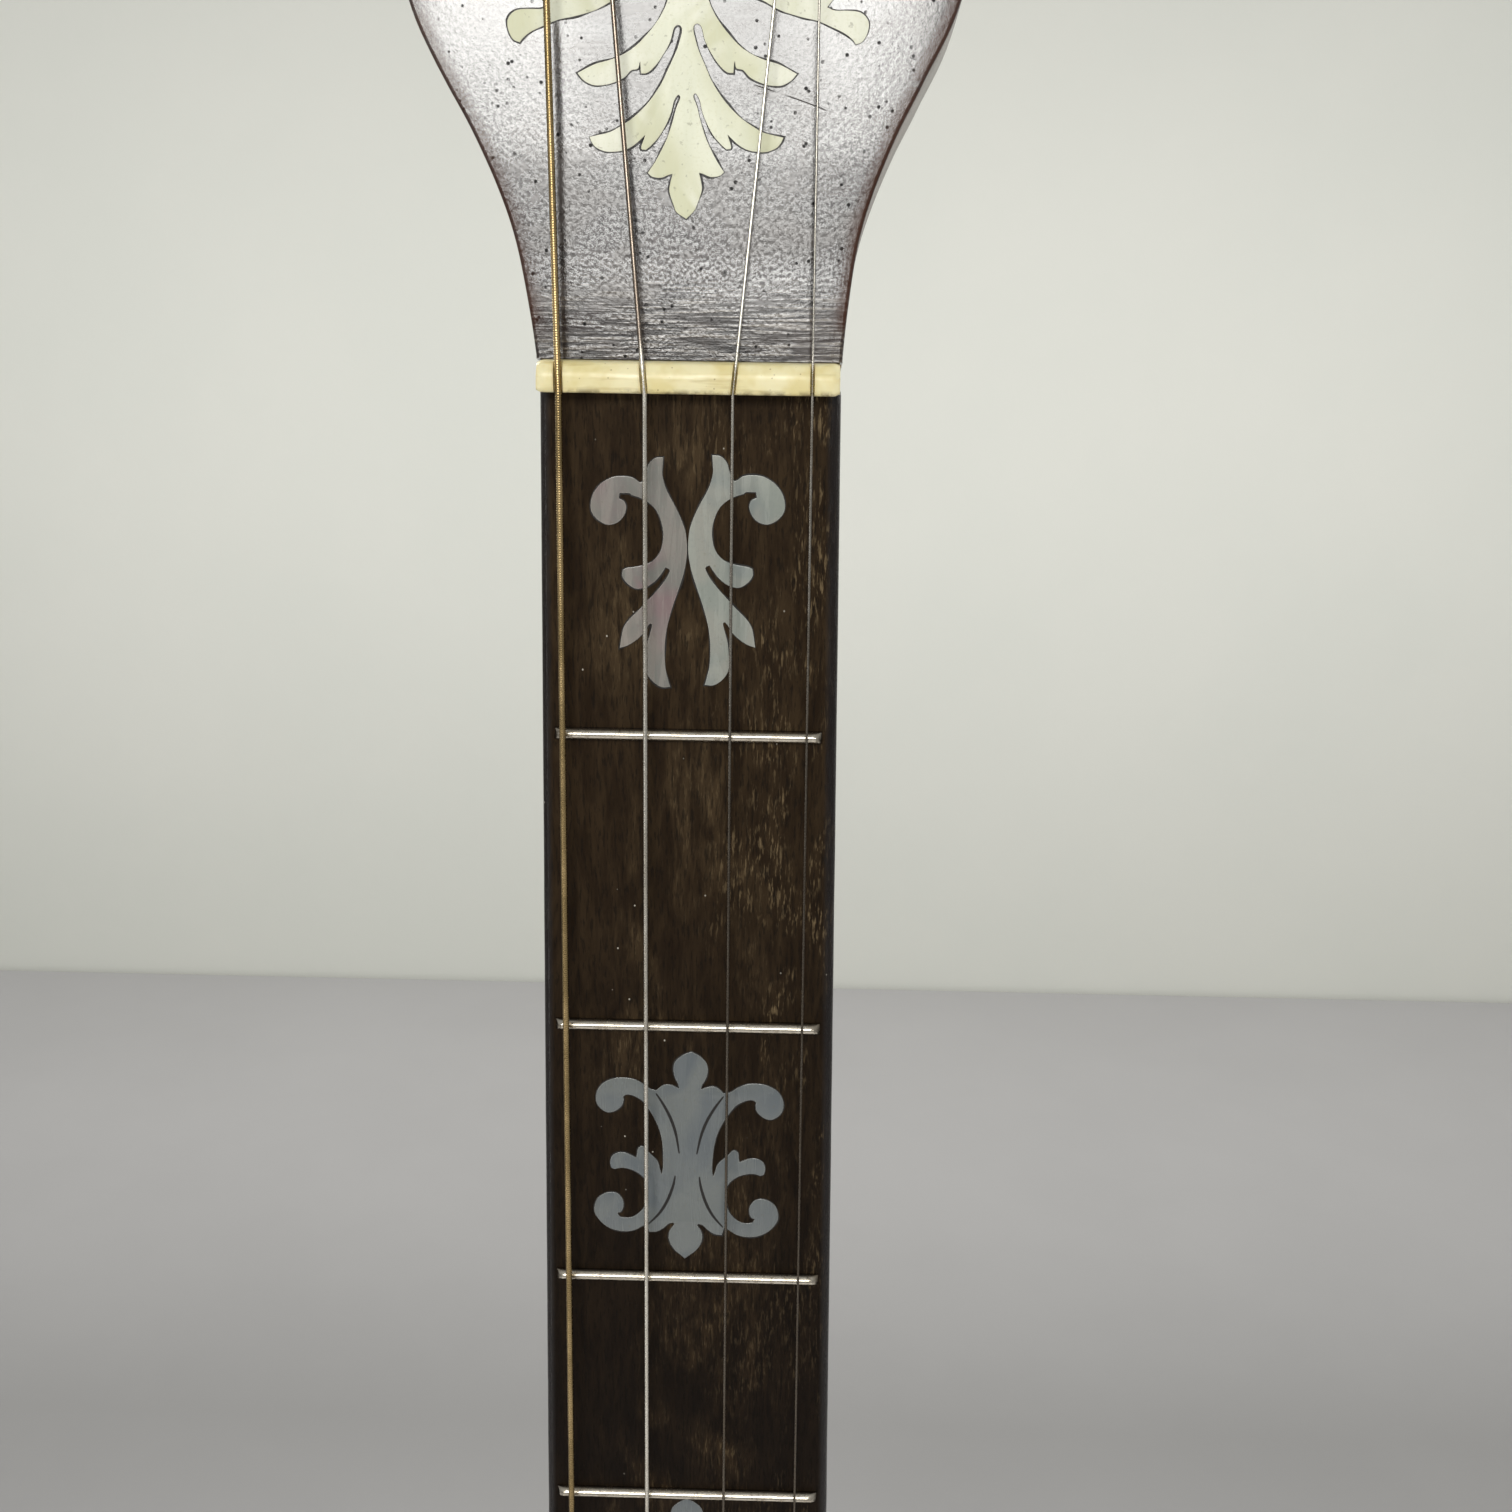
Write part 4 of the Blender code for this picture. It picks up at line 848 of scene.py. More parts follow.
def thinned(outline, least):
    """Leaves out points that stand closer than a distance to the one before."""
    kept = [outline[0]]
    for point in outline[1:]:
        if (Vector(point) - Vector(kept[-1])).length > least:
            kept.append(point)
    return kept


def peg_bores(front, back):
    return merged(*[cross_rod(x, up, front, back, PEG_BORE, 40) for x, up in PEG_HOLES])


def neck_section(down, top, width, depth, narrow):
    ring = []
    for k in range(33):
        angle = math.pi * k / 32
        across = powered(math.cos(angle), narrow)
        back = math.sin(angle) ** 0.92 if 0 < k < 32 else 0.0
        ring.append((width / 2 * across, BOARD_TOP_Y + top + depth * back, NUT_Z - down))
    return ring


def make_neck():
    bm = lofted([neck_section(*row) for row in stations(NECK_STATIONS, 6)])
    outline = thinned([(x, z + FINE_GAP) for x, z in headstock_outline()], 0.0007)
    core = slab(outline, OVERLAY_THICK + FINE_GAP, HEADSTOCK_THICK, 0.0, 0.0012, 4)
    bm = combined(bm, moved(core, HEADSTOCK), "UNION")
    bm = combined(bm, moved(peg_bores(-0.005, 0.030), HEADSTOCK))
    shelf_end = NUT_Z + NUT_THICK + FINE_GAP
    shelf = block((-0.03, BOARD_TOP_Y - 0.01, NUT_Z - 0.001), (0.03, BOARD_TOP_Y + NECK_TOP, shelf_end))
    bm = combined(bm, shelf)
    near, far = RIM_RADIUS + GAP, BAND_RADIUS + GAP
    steps = (
        (0, -0.030), (HOOP_RADIUS + GAP, -0.030), (HOOP_RADIUS + GAP, 0.0155), (near, 0.0155),
        (near, BAND_SPAN[0] - GAP), (far, BAND_SPAN[0] - GAP), (far, BAND_SPAN[1] + GAP),
        (near, BAND_SPAN[1] + GAP), (near, 0.080), (0, 0.080),
    )  # fmt: skip
    bm = combined(bm, moved(turned(steps, HOOP_STEPS), POT))
    y, top = HEAD_Y + DOWEL_DEPTH, POT_Z + RIM_RADIUS + 0.014 + GAP
    bm = combined(bm, rod((0, y, POT_Z + RIM_RADIUS - 0.002), (0, y, top), 0.0078, 32))
    piece("neck_wood", bm, "mahogany", stands_for=("neck",), sharp=32)


def make_veneer():
    """The lacquered face of the headstock, its corners rounded by wear."""
    foot = -0.0012
    kept = thinned([(x, z if z > 0.0002 else foot) for x, z in headstock_outline()], 0.0003)
    bm = combined(slab(kept, 0, OVERLAY_THICK, 0.00040, 0.0, 5), peg_bores(-0.005, 0.006))
    bm = combined(bm, block((-0.03, -0.01, -0.01), (0.03, 0.01, FINE_GAP)))
    piece("headstock_veneer", bm, "lacquer", stands_for=("headstock_overlay",), at=HEADSTOCK)


def make_board():
    """The fingerboard: its long edges rolled by hands."""
    rings = []
    downs = [BOARD_END * k / 180 for k in range(181)]
    for down in downs:
        z = NUT_Z - down
        wear = 0.00004 * noise.noise(Vector((0, 0, down * 90)))
        fuller = max(0.0, 1 - down / 0.15)
        sides = []
        for extra, edge in ((0.00045, 0.0012), (0.0002, 0.0009)):
            half = width_at(down) / 2 + extra * fuller
            sides.append([
                (half, BOARD_TOP_Y + BOARD_THICK), *arc((half - edge, BOARD_TOP_Y + edge), edge, 0, -90, 5)
            ])
        right, left = sides[0], [(-x, y) for x, y in reversed(sides[1])]
        rings.append([(x + wear, y, z) for x, y in right + left])
    bm = lofted(rings)
    piece("fingerboard_wood", bm, "board", stands_for=("fingerboard",))


def make_frets():
    """Each fret: a rounded crown, its ends dressed back at a slant, and its foot let into the wood."""
    width, height, inset = 0.0014, 0.0010, 0.0012
    crown = [(-0.5, 0.12), (-0.47, 0.34), (-0.37, 0.62), (-0.22, 0.86), (-0.07, 0.97)]
    crown = [(-0.5, -0.3), *crown, *[(-a, r) for a, r in reversed(crown)], (0.5, -0.3)]
    for number in range(1, FRETS + 1):
        down = fret_place(number)
        half = width_at(down) / 2 - inset
        rings = []
        slant = ((0.0, 0.62), (0.00012, 0.80), (0.00034, 0.93), (0.0008, 1.0))
        sides = [(-half + a, s) for a, s in slant]
        sides += [(-half + 2 * half * k / 24, 1.0) for k in range(1, 24)] + [
            (half - a, s) for a, s in reversed(slant)
        ]
        for x, full in sides:
            play = 0.00002 * noise.noise(Vector((x * 260, number * 3.7, 0)))
            ring = []
            for across, rise in crown:
                lean = max(0.0, rise) * 0.00045 * (1 if x < 0 else -1) if full < 1 else 0.0
                y = BOARD_TOP_Y - (rise * full if rise > 0 else rise) * height
                ring.append((x + lean, y + play, NUT_Z - down + across * width * (0.90 + 0.10 * full)))
            rings.append(ring)
        stands = ("fingerboard",) if number == 1 else ()
        piece(f"fret_{number:02d}", lofted(rings), "fret", stands_for=stands, sharp=50)


def nut_string_y(radius):
    """How far in front a string runs in its nut slot, sunk in by most of its radius."""
    return BOARD_TOP_Y - NUT_PROUD + 0.0006 - radius * 0.9


def make_nut():
    """A bone block: rounded along its top, filed down behind, with a slot for each string."""
    half = NUT_WIDTH / 2
    bottom, top = BOARD_TOP_Y + BOARD_THICK, BOARD_TOP_Y - NUT_PROUD
    front, back = NUT_Z + FINE_GAP, NUT_Z + NUT_THICK
    side = [
        (bottom, front), (top, front), (top + 0.0002, back - 0.0012), (top + 0.0010, back - 0.0002),
        (top + 0.0016, back), (bottom, back),
    ]  # fmt: skip
    side = rounded(side, 0.00045, 4, closed=True)
    rings = []
    for k in range(65):
        t = k / 64
        x = -half + 2 * half * t
        end = max(0.0, 1 - min(t, 1 - t) * 2 * half / 0.0007)
        shrink = 1 - math.sqrt(max(0.0, 1 - end * end))
        ring = []
        for y, z in side:
            proud = max(0.0, BOARD_TOP_Y - y)
            ripple = 0.00005 * noise.noise(Vector((x * 500, z * 900, 2.0))) * min(1.0, proud / 0.0010)
            cy, cz = (bottom + top) / 2, (front + back) / 2
            squeeze = 0.00025 * shrink
            dy = squeeze if y < cy else -squeeze
            dz = squeeze if z < cz else -squeeze
            ring.append((x, y + dy + ripple, z + dz * 0.8))
        rings.append(ring)
    bm = lofted(rings)
    for number, radius in enumerate(STRING_RADII):
        seat = nut_string_y(radius)
        x = NUT_SLOTS[number]
        first = string_wraps(number)[0]
        lean = (first.x - x) / (first.z - NUT_Z)
        wide = radius + FINE_GAP
        rows = []
        for z in (NUT_Z - 0.001, NUT_Z + 0.0004, NUT_Z + NUT_THICK + 0.001):
            middle, drop = x + lean * max(0.0, z - NUT_Z), 0.25 * max(0.0, z - NUT_Z)
            low = arc((middle, seat + drop + FINE_GAP), wide, 0, 180, 8)
            flare = [(middle - wide * 1.25, top - 0.002), (middle + wide * 1.25, top - 0.002)]
            rows.append([(px, py, z) for px, py in low + flare])
        bm = combined(bm, lofted(rows))
    piece("bone_nut", bm, "bone", stands_for=("nut",))


# ---- inlays --------------------------------------------------------------------------------------
def scroll(points, per_span=5):
    """A closed outline through control points; a third value marks a corner."""
    count = len(points)
    line = []
    for i in range(count):
        a, b, c, d = (points[(i + k) % count] for k in (-1, 0, 1, 2))
        p, q, r, s = Vector(a[:2]), Vector(b[:2]), Vector(c[:2]), Vector(d[:2])
        start = (r - q) if len(b) > 2 else (r - p) / 2
        end = (r - q) if len(c) > 2 else (s - q) / 2
        reach = (r - q).length
        start, end = (v.normalized() * min(v.length, reach * 1.4) if v.length else v for v in (start, end))
        for k in range(per_span):
            t = k / per_span
            point = (
                q * (2 * t**3 - 3 * t**2 + 1) + start * (t**3 - 2 * t**2 + t) + r * (3 * t**2 - 2 * t**3)
                + end * (t**3 - t**2)
            )  # fmt: skip
            if not line or (point - line[-1]).length > 0.02:
                line.append(point)
    return [tuple(v) for v in line]


def ragged(outline, gap):
    """The cut in the wood round an inlay: never quite as even as the shell."""
    wide, close = offset(outline, -gap / 1000), []
    for (x, z), (px, pz) in zip(outline, wide):
        share = 0.55 + 0.9 * noise.noise(Vector((x * 420, z * 420, 5.0)))
        share = min(1.0, max(0.15, share))
        close.append((x + (px - x) * share, z + (pz - z) * share))
    return close


def inlay(name, outlines, look, face, matrix=None, at=None, proud=0.04, lines=(), gap=0.18):
    """Shell let into the wood, in millimetres: rounded tops, a dark filler round each, and engraved lines."""

    def real(outline):
        points = ((matrix or Matrix.Identity(3)) @ Vector((p[0], p[1], 1)) for p in outline)
        return [(v.x / 1000, v.y / 1000) for v in points]

    tops, beds, cuts = [], [], []
    for outline in outlines:
        shape = real(outline)
        shoulder = (offset(shape, 0.00004), -proud * 0.65 / 1000)
        top = (offset(shape, 0.00010), -proud / 1000)
        tops.append(layered([(shape, 0.0004), (shape, 0.000005), shoulder, top], face))
        edge = offset(shape, 0.00006)
        bed = [
            (edge, 0.0003), (edge, -0.000008), (ragged(shape, gap), -0.000008), (ragged(shape, gap), 0.0003)
        ]
        beds.append(layered(bed, face, closed=True))
    for line in lines:
        path = [Vector(p) for p in curve_through(line, 6)]
        left, right, last = [], [], len(path) - 1
        for k, p in enumerate(path):
            ahead = (path[min(last, k + 1)] - path[max(0, k - 1)]).normalized()
            half = 0.18 * math.sqrt(max(0.0, math.sin(math.pi * (0.04 + 0.92 * (k / last)))))
            left.append(p + Vector((-ahead.y, ahead.x)) * half)
            right.append(p - Vector((-ahead.y, ahead.x)) * half)
        outline = real([tuple(p) for p in left + right[::-1]])
        cuts.append(slab(outline, face - proud / 1000 - 0.000008, face - proud / 1000 + 0.0002))
    piece(name, merged(*tops), look, at=at, sharp=50)
    piece(f"{name}_filler", merged(*beds, *cuts), "filler", at=at)


C = True  # marks a corner in the outlines below

# A scroll of one half: across from the middle, and down from its top, in millimetres.
SCROLL_LEAF = (
    (2.5, 6.4, C), (3.4, 6.5), (4.1, 7.2), (4.4, 8.2), (4.9, 9.1), (5.8, 8.6), (6.8, 8.45), (8.0, 8.6),
    (9.2, 9.3), (10.0, 10.3), (10.35, 11.5), (10.2, 12.5), (9.5, 13.3), (8.5, 13.75), (7.5, 13.5),
    (6.8, 12.8), (6.5, 11.9), (6.7, 11.2), (7.3, 10.85, C), (7.2, 10.3, C), (6.2, 10.3), (5.9, 10.5, C),
    (5.0, 10.8), (4.1, 11.3), (3.3, 12.1), (2.8, 13.2), (2.55, 14.5), (2.65, 15.8), (3.0, 16.8), (3.7, 17.6),
    (4.6, 18.05, C), (5.6, 18.25), (6.5, 18.4), (6.95, 18.6, C), (7.0, 19.3), (6.6, 20.0), (5.8, 20.6),
    (5.1, 20.7), (4.2, 20.4), (3.3, 19.7), (2.6, 18.8), (2.3, 18.3, C), (1.95, 18.45), (1.85, 18.7),
    (2.3, 19.6), (3.2, 20.8), (4.2, 21.9), (5.2, 23.0), (6.3, 24.1), (6.9, 25.0), (7.15, 26.0),
    (7.35, 27.35, C), (6.4, 27.0), (5.5, 26.4), (4.8, 25.7), (4.3, 24.9), (4.0, 24.55, C), (3.8, 24.7),
    (4.0, 25.6), (4.3, 26.7), (4.45, 28.0), (4.5, 29.3), (4.3, 30.3), (3.6, 31.2), (2.7, 31.7),
    (1.8, 31.65, C), (2.0, 30.9), (2.3, 29.6), (2.4, 28.0), (2.35, 26.5), (2.1, 24.8), (1.6, 22.9),
    (0.9, 20.8), (0.3, 18.9), (0.0, 17.2), (-0.05, 16.0), (0.1, 14.5), (0.5, 13.2), (1.2, 11.7), (2.0, 10.2),
    (2.4, 9.2), (2.6, 8.2), (2.55, 7.2),
)  # fmt: skip

# Half of a lily, from its top point down to its foot.
LILY_HALF = (
    (0.0, 76.1, C), (1.0, 76.6), (1.8, 77.4), (2.05, 78.4), (1.85, 79.5), (1.45, 80.3), (1.3, 80.9, C),
    (2.4, 80.5), (3.2, 80.6), (4.0, 81.3, C), (4.8, 81.1), (5.6, 80.5), (6.6, 80.0), (7.7, 79.85),
    (9.0, 80.0), (10.2, 80.6), (10.9, 81.5), (11.15, 82.6), (10.9, 83.6), (10.2, 84.3), (9.5, 84.5),
    (8.7, 84.2), (8.0, 83.5), (7.8, 82.7, C), (7.85, 82.3), (7.4, 82.05), (6.6, 82.2), (5.6, 82.8),
    (4.85, 83.8), (4.15, 85.0), (3.5, 86.5), (3.15, 88.0), (3.0, 89.5), (2.95, 91.3), (3.1, 92.4, C),
    (3.3, 91.7), (3.6, 90.7), (4.2, 90.0), (4.8, 89.4), (5.2, 88.9), (5.6, 88.75), (6.0, 89.1), (6.1, 89.8),
    (6.2, 90.3, C), (6.8, 90.0), (7.6, 89.7), (8.5, 89.8), (9.1, 90.3), (9.3, 91.1), (9.15, 91.8),
    (8.75, 92.0, C), (7.95, 91.8), (7.05, 91.9), (6.05, 92.3), (5.15, 93.1), (4.75, 94.0), (4.7, 95.0),
    (4.8, 96.0), (5.2, 97.1), (5.85, 97.9), (6.65, 98.4), (7.45, 98.5), (8.05, 98.35), (8.3, 97.9, C),
    (7.85, 97.7), (7.6, 97.0), (7.65, 96.2), (8.15, 95.4), (8.95, 95.1), (9.85, 95.3), (10.65, 95.9),
    (11.05, 96.8), (11.1, 97.8), (10.7, 98.7), (9.9, 99.6), (8.8, 100.2), (7.5, 100.4), (6.3, 100.2),
    (5.3, 99.6), (4.7, 99.2, C), (4.4, 100.3, C), (3.5, 100.2), (2.7, 99.7), (2.1, 99.1), (1.6, 98.9, C),
    (1.4, 99.1), (1.9, 99.9), (2.05, 100.8), (1.8, 101.8), (1.2, 102.7), (0.5, 103.3), (0.0, 103.75, C),
)  # fmt: skip
LILY_CUTS = (
    ((4.0, 81.7), (3.05, 83.2), (2.15, 85.0), (1.5, 87.0), (1.05, 89.5)),
    ((1.45, 92.5), (1.7, 94.0), (2.35, 96.0), (3.25, 97.7), (4.5, 99.2)),
)


def mirrored(points, axis=0.0):
    return [(2 * axis - p[0], *p[1:]) for p in reversed(points)]


LILY = scroll([*LILY_HALF, *mirrored(LILY_HALF[1:-1])])
LILY_LINES = [*LILY_CUTS, *[mirrored(c) for c in LILY_CUTS]]


def on_board(down, scale=1.0, centre=0.0, across=0.0, tilt=0.0):
    """Puts an ornament, drawn down from the nut, at another place on the board."""
    turn = Matrix.Rotation(math.radians(tilt), 3, "Z")
    size = Matrix.Diagonal((scale, scale, 1))
    lift = Matrix(((1, 0, 0), (0, 1, -centre), (0, 0, 1)))
    drop = Matrix(((1, 0, across), (0, -1, NUT_Z * 1000 - down), (0, 0, 1)))
    return drop @ turn @ size @ lift


def make_board_inlays():
    leaf = scroll(SCROLL_LEAF)
    other = scroll(mirrored(SCROLL_LEAF, -0.1))
    flip = Matrix(((1, 0, 0), (0, -1, NUT_Z * 1000), (0, 0, 1)))
    lower = Matrix(((1, 0, 0), (0, -1, NUT_Z * 1000 - 0.3), (0, 0, 1)))
    inlay("leaf_inlay_right", [leaf], "pearl", BOARD_TOP_Y, flip)
    inlay("leaf_inlay_left", [other], "rose", BOARD_TOP_Y, lower)
    inlay("lily_inlay_3", [LILY], "blue", BOARD_TOP_Y, on_board(90, 1.0, 90, 0.05, 1.5), lines=LILY_LINES)
    plan = (
        (5, "lily", 1.0), (7, "leaf", 1.05), (10, "lily", 0.92), (12, "leaf", 1.0), (15, "lily", 0.78),
        (17, "leaf", 0.62), (19, "lily", 0.58),
    )  # fmt: skip
    for number, kind, scale in plan:
        middle = (fret_place(number) + fret_place(number - 1)) * 500
        look = ("pearl", "rose", "blue")[number % 3]
        outlines, centre, lines = ([LILY], 90, LILY_LINES) if kind == "lily" else ([leaf, other], 19, ())
        inlay(
            f"{kind}_inlay_{number}", outlines, look, BOARD_TOP_Y, on_board(middle, scale, centre),
            lines=lines
        )


# The headstock's cascade of leaves: across, and up from the nut, in millimetres. It is drawn as its right
# half from the bud at the foot up to the trunk, with the long arms that end in a ball; and its left half.
CASCADE_AXIS = -0.6
LEAVES_END = 64  # how many points, from the bud on, are leaves below the arms
CASCADE_RIGHT = (
    (-0.5, 14.6, C), (0.3, 15.4), (0.6, 16.0), (1.1, 17.5), (1.0, 18.5), (0.8, 19.3, C), (1.2, 19.2),
    (2.0, 18.9), (2.9, 19.0), (3.4, 19.4, C), (2.6, 20.6), (1.9, 21.9), (1.4, 23.0), (0.9, 24.5), (0.5, 26.0),
    (0.1, 27.0), (0.3, 27.3), (0.7, 26.7), (1.0, 25.5), (1.5, 24.3), (2.2, 23.1), (3.0, 22.2), (3.6, 21.7, C),
    (4.1, 21.9), (3.7, 23.2, C), (4.0, 22.9), (4.8, 22.2), (5.7, 21.7), (6.7, 21.5), (7.8, 21.5), (8.8, 21.9),
    (9.3, 22.5), (9.5, 23.0, C), (8.6, 23.2), (7.4, 23.5), (6.3, 24.1), (5.1, 24.9), (3.9, 26.0), (2.9, 27.2),
    (2.0, 28.6), (1.4, 29.9), (0.8, 31.2), (0.4, 32.2), (0.0, 33.8), (0.3, 34.3), (0.8, 34.0), (1.2, 32.6),
    (1.9, 31.3), (2.7, 30.2), (3.5, 29.5), (4.2, 29.4, C), (4.3, 30.6, C), (4.5, 29.9), (5.2, 29.7),
    (5.9, 29.0), (6.9, 28.5), (8.0, 28.2), (9.2, 28.2), (10.2, 28.7), (10.8, 29.4, C), (9.9, 29.9),
    (8.8, 30.4), (7.4, 30.8), (6.0, 31.4), (4.8, 32.2), (3.7, 33.3), (2.8, 34.4), (2.1, 35.5), (1.6, 36.6),
    (1.45, 37.5), (1.5, 40.0), (1.7, 41.5), (2.4, 40.2), (3.8, 38.7), (5.5, 37.5), (7.3, 36.6), (9.0, 35.7),
    (11.0, 35.1), (12.8, 34.7), (14.3, 34.1), (15.6, 33.5), (16.4, 32.9), (16.8, 32.4, C), (17.5, 32.7),
    (18.0, 33.6), (18.1, 34.6), (17.7, 35.3), (17.0, 35.7), (15.8, 35.8), (14.6, 35.8), (13.8, 36.1, C),
    (14.5, 37.0, C), (12.5, 37.6), (10.0, 38.2), (7.0, 39.6), (4.5, 41.2), (2.5, 43.2), (1.7, 45.0),
)  # fmt: skip


def make_headstock_inlay():
    axis, right = CASCADE_AXIS, list(CASCADE_RIGHT)
    left = [(2 * axis - p[0], p[1] - 0.15, *p[2:]) for p in right[1:]]
    # Above the arms the leaves repeat the other way up, and end in a bud.
    crown_middle = 46.5
    above = [
        (axis + (p[0] - axis) * 0.86, crown_middle + (crown_middle - p[1]) * 0.88, *p[2:])
        for p in reversed(right[:LEAVES_END])
    ]
    above_left = [(2 * axis - p[0], p[1], *p[2:]) for p in reversed(above[:-1])]
    outline = right + above + above_left + list(reversed(left))
    inlay("cascade_inlay", [scroll(outline, 5)], "cream", 0.0, at=HEADSTOCK, gap=0.24)
    place = Matrix(((0.80, 0, -1.1), (0, -0.80, 103.5 + 0.80 * 90), (0, 0, 1)))
    inlay("crown_inlay", [LILY], "cream", 0.0, place, HEADSTOCK, 0.04, LILY_LINES, 0.24)


# ---- strings, nut end to tail --------------------------------------------------------------------
POST_WAIST, WRAPS, WRAP_STEPS, WRAP_DEPTH = 0.0025, 2.25, 28, -0.0031
WINDING_PITCH = 0.00026
TAIL_PIN_DOWN, TAIL_PIN_RADIUS, PIN_SPACING = 0.113, 0.0009, 0.0072
PLATE_FRONT, PLATE_BACK, PLATE_FACE, PLATE_THICK, PLATE_HALF = 0.100, 0.157, -0.0080, 0.0014, 0.0145


def string_wraps(number):
    radius = STRING_RADII[number]
    x, up = PEG_HOLES[number]
    side = 1 if x < 0 else -1
    reach = POST_WAIST + GAP * 0.2 + radius
    points = []
    for k in range(int(WRAPS * WRAP_STEPS) + 1):
        angle = math.tau * k / WRAP_STEPS
        depth = WRAP_DEPTH - k / WRAP_STEPS * (2 * radius + 0.00004)
        place = (x + side * reach * math.cos(angle), depth, up + reach * math.sin(angle))
        points.append(HEADSTOCK @ Vector(place))
    return points


def string_x(number, down):
    at_bridge = BRIDGE_SHIFT + (number - 1.5) * BRIDGE_SPACING
    return NUT_SLOTS[number] + (at_bridge - NUT_SLOTS[number]) * down / SCALE


def pin_x(number):
    return BRIDGE_SHIFT + (number - 1.5) * PIN_SPACING


def pin_y(radius):
    return HEAD_Y + PLATE_FACE - radius - GAP


def bridge_y(radius):
    return HEAD_Y - BRIDGE_HEIGHT - FINE_GAP - radius


def string_line(number):
    radius = STRING_RADII[number]
    pin = pin_x(number)
    loop = TAIL_PIN_RADIUS + 0.0003 + radius
    y, z = pin_y(radius), POT_Z - TAIL_PIN_DOWN
    turns = [math.radians(a) for a in range(70, -191, -13)]
    points = [Vector((pin + loop * math.cos(a), y, z + loop * math.sin(a))) for a in turns]
    points.append(Vector((pin, y, POT_Z - PLATE_FRONT + 0.001)))
    points.append(Vector((string_x(number, SCALE), bridge_y(radius), NUT_Z - SCALE)))
    points.append(Vector((NUT_SLOTS[number], nut_string_y(radius), NUT_Z)))
    back = points[-1] + (string_wraps(number)[0] - points[-1]) * 0.08
    return points + [back] + string_wraps(number)


def resampled(points, step):
    line = [points[0]]
    for a, b in zip(points, points[1:]):
        count = max(1, round((b - a).length / step))
        line += [a + (b - a) * k / count for k in range(1, count + 1)]
    return line


def make_strings():
    for number, radius in enumerate(STRING_RADII):
        label = 4 - number
        path = string_line(number)
        if number == 0:
            line = resampled(path, WINDING_PITCH / 4)
            swell = (0.90, 0.985, 1.0, 0.985)
            bm = tube(line, [radius * swell[k % 4] for k in range(len(line))], 10)
        else:
            bm = tube(resampled(path, 0.004), radius, 14)
        look = ("winding", "steel", "aged_shaded_steel", "thin_steel")[number]
        piece(f"string_wire_{label}", bm, look, stands_for=(f"string_{label}",), sharp=80)
        # The plain loop's twist, just above its tail pin.
        pin, y = pin_x(number), pin_y(radius)
        twist = []
        for k in range(61):
            a = math.tau * 5 * k / 60
            z = POT_Z - TAIL_PIN_DOWN + 0.0024 + 0.0066 * k / 60
            reach = radius * 1.55
            twist.append((pin + reach * math.cos(a), y + reach * math.sin(a), z))
        piece(f"string_twist_{label}", tube(twist, radius * 0.55, 8), look, sharp=80)


# ---- tuners --------------------------------------------------------------------------------------
HOUSING_BACK, POST_END, POST_RADIUS = HEADSTOCK_THICK + 0.0125, HEADSTOCK_THICK + 0.0050, 0.0031


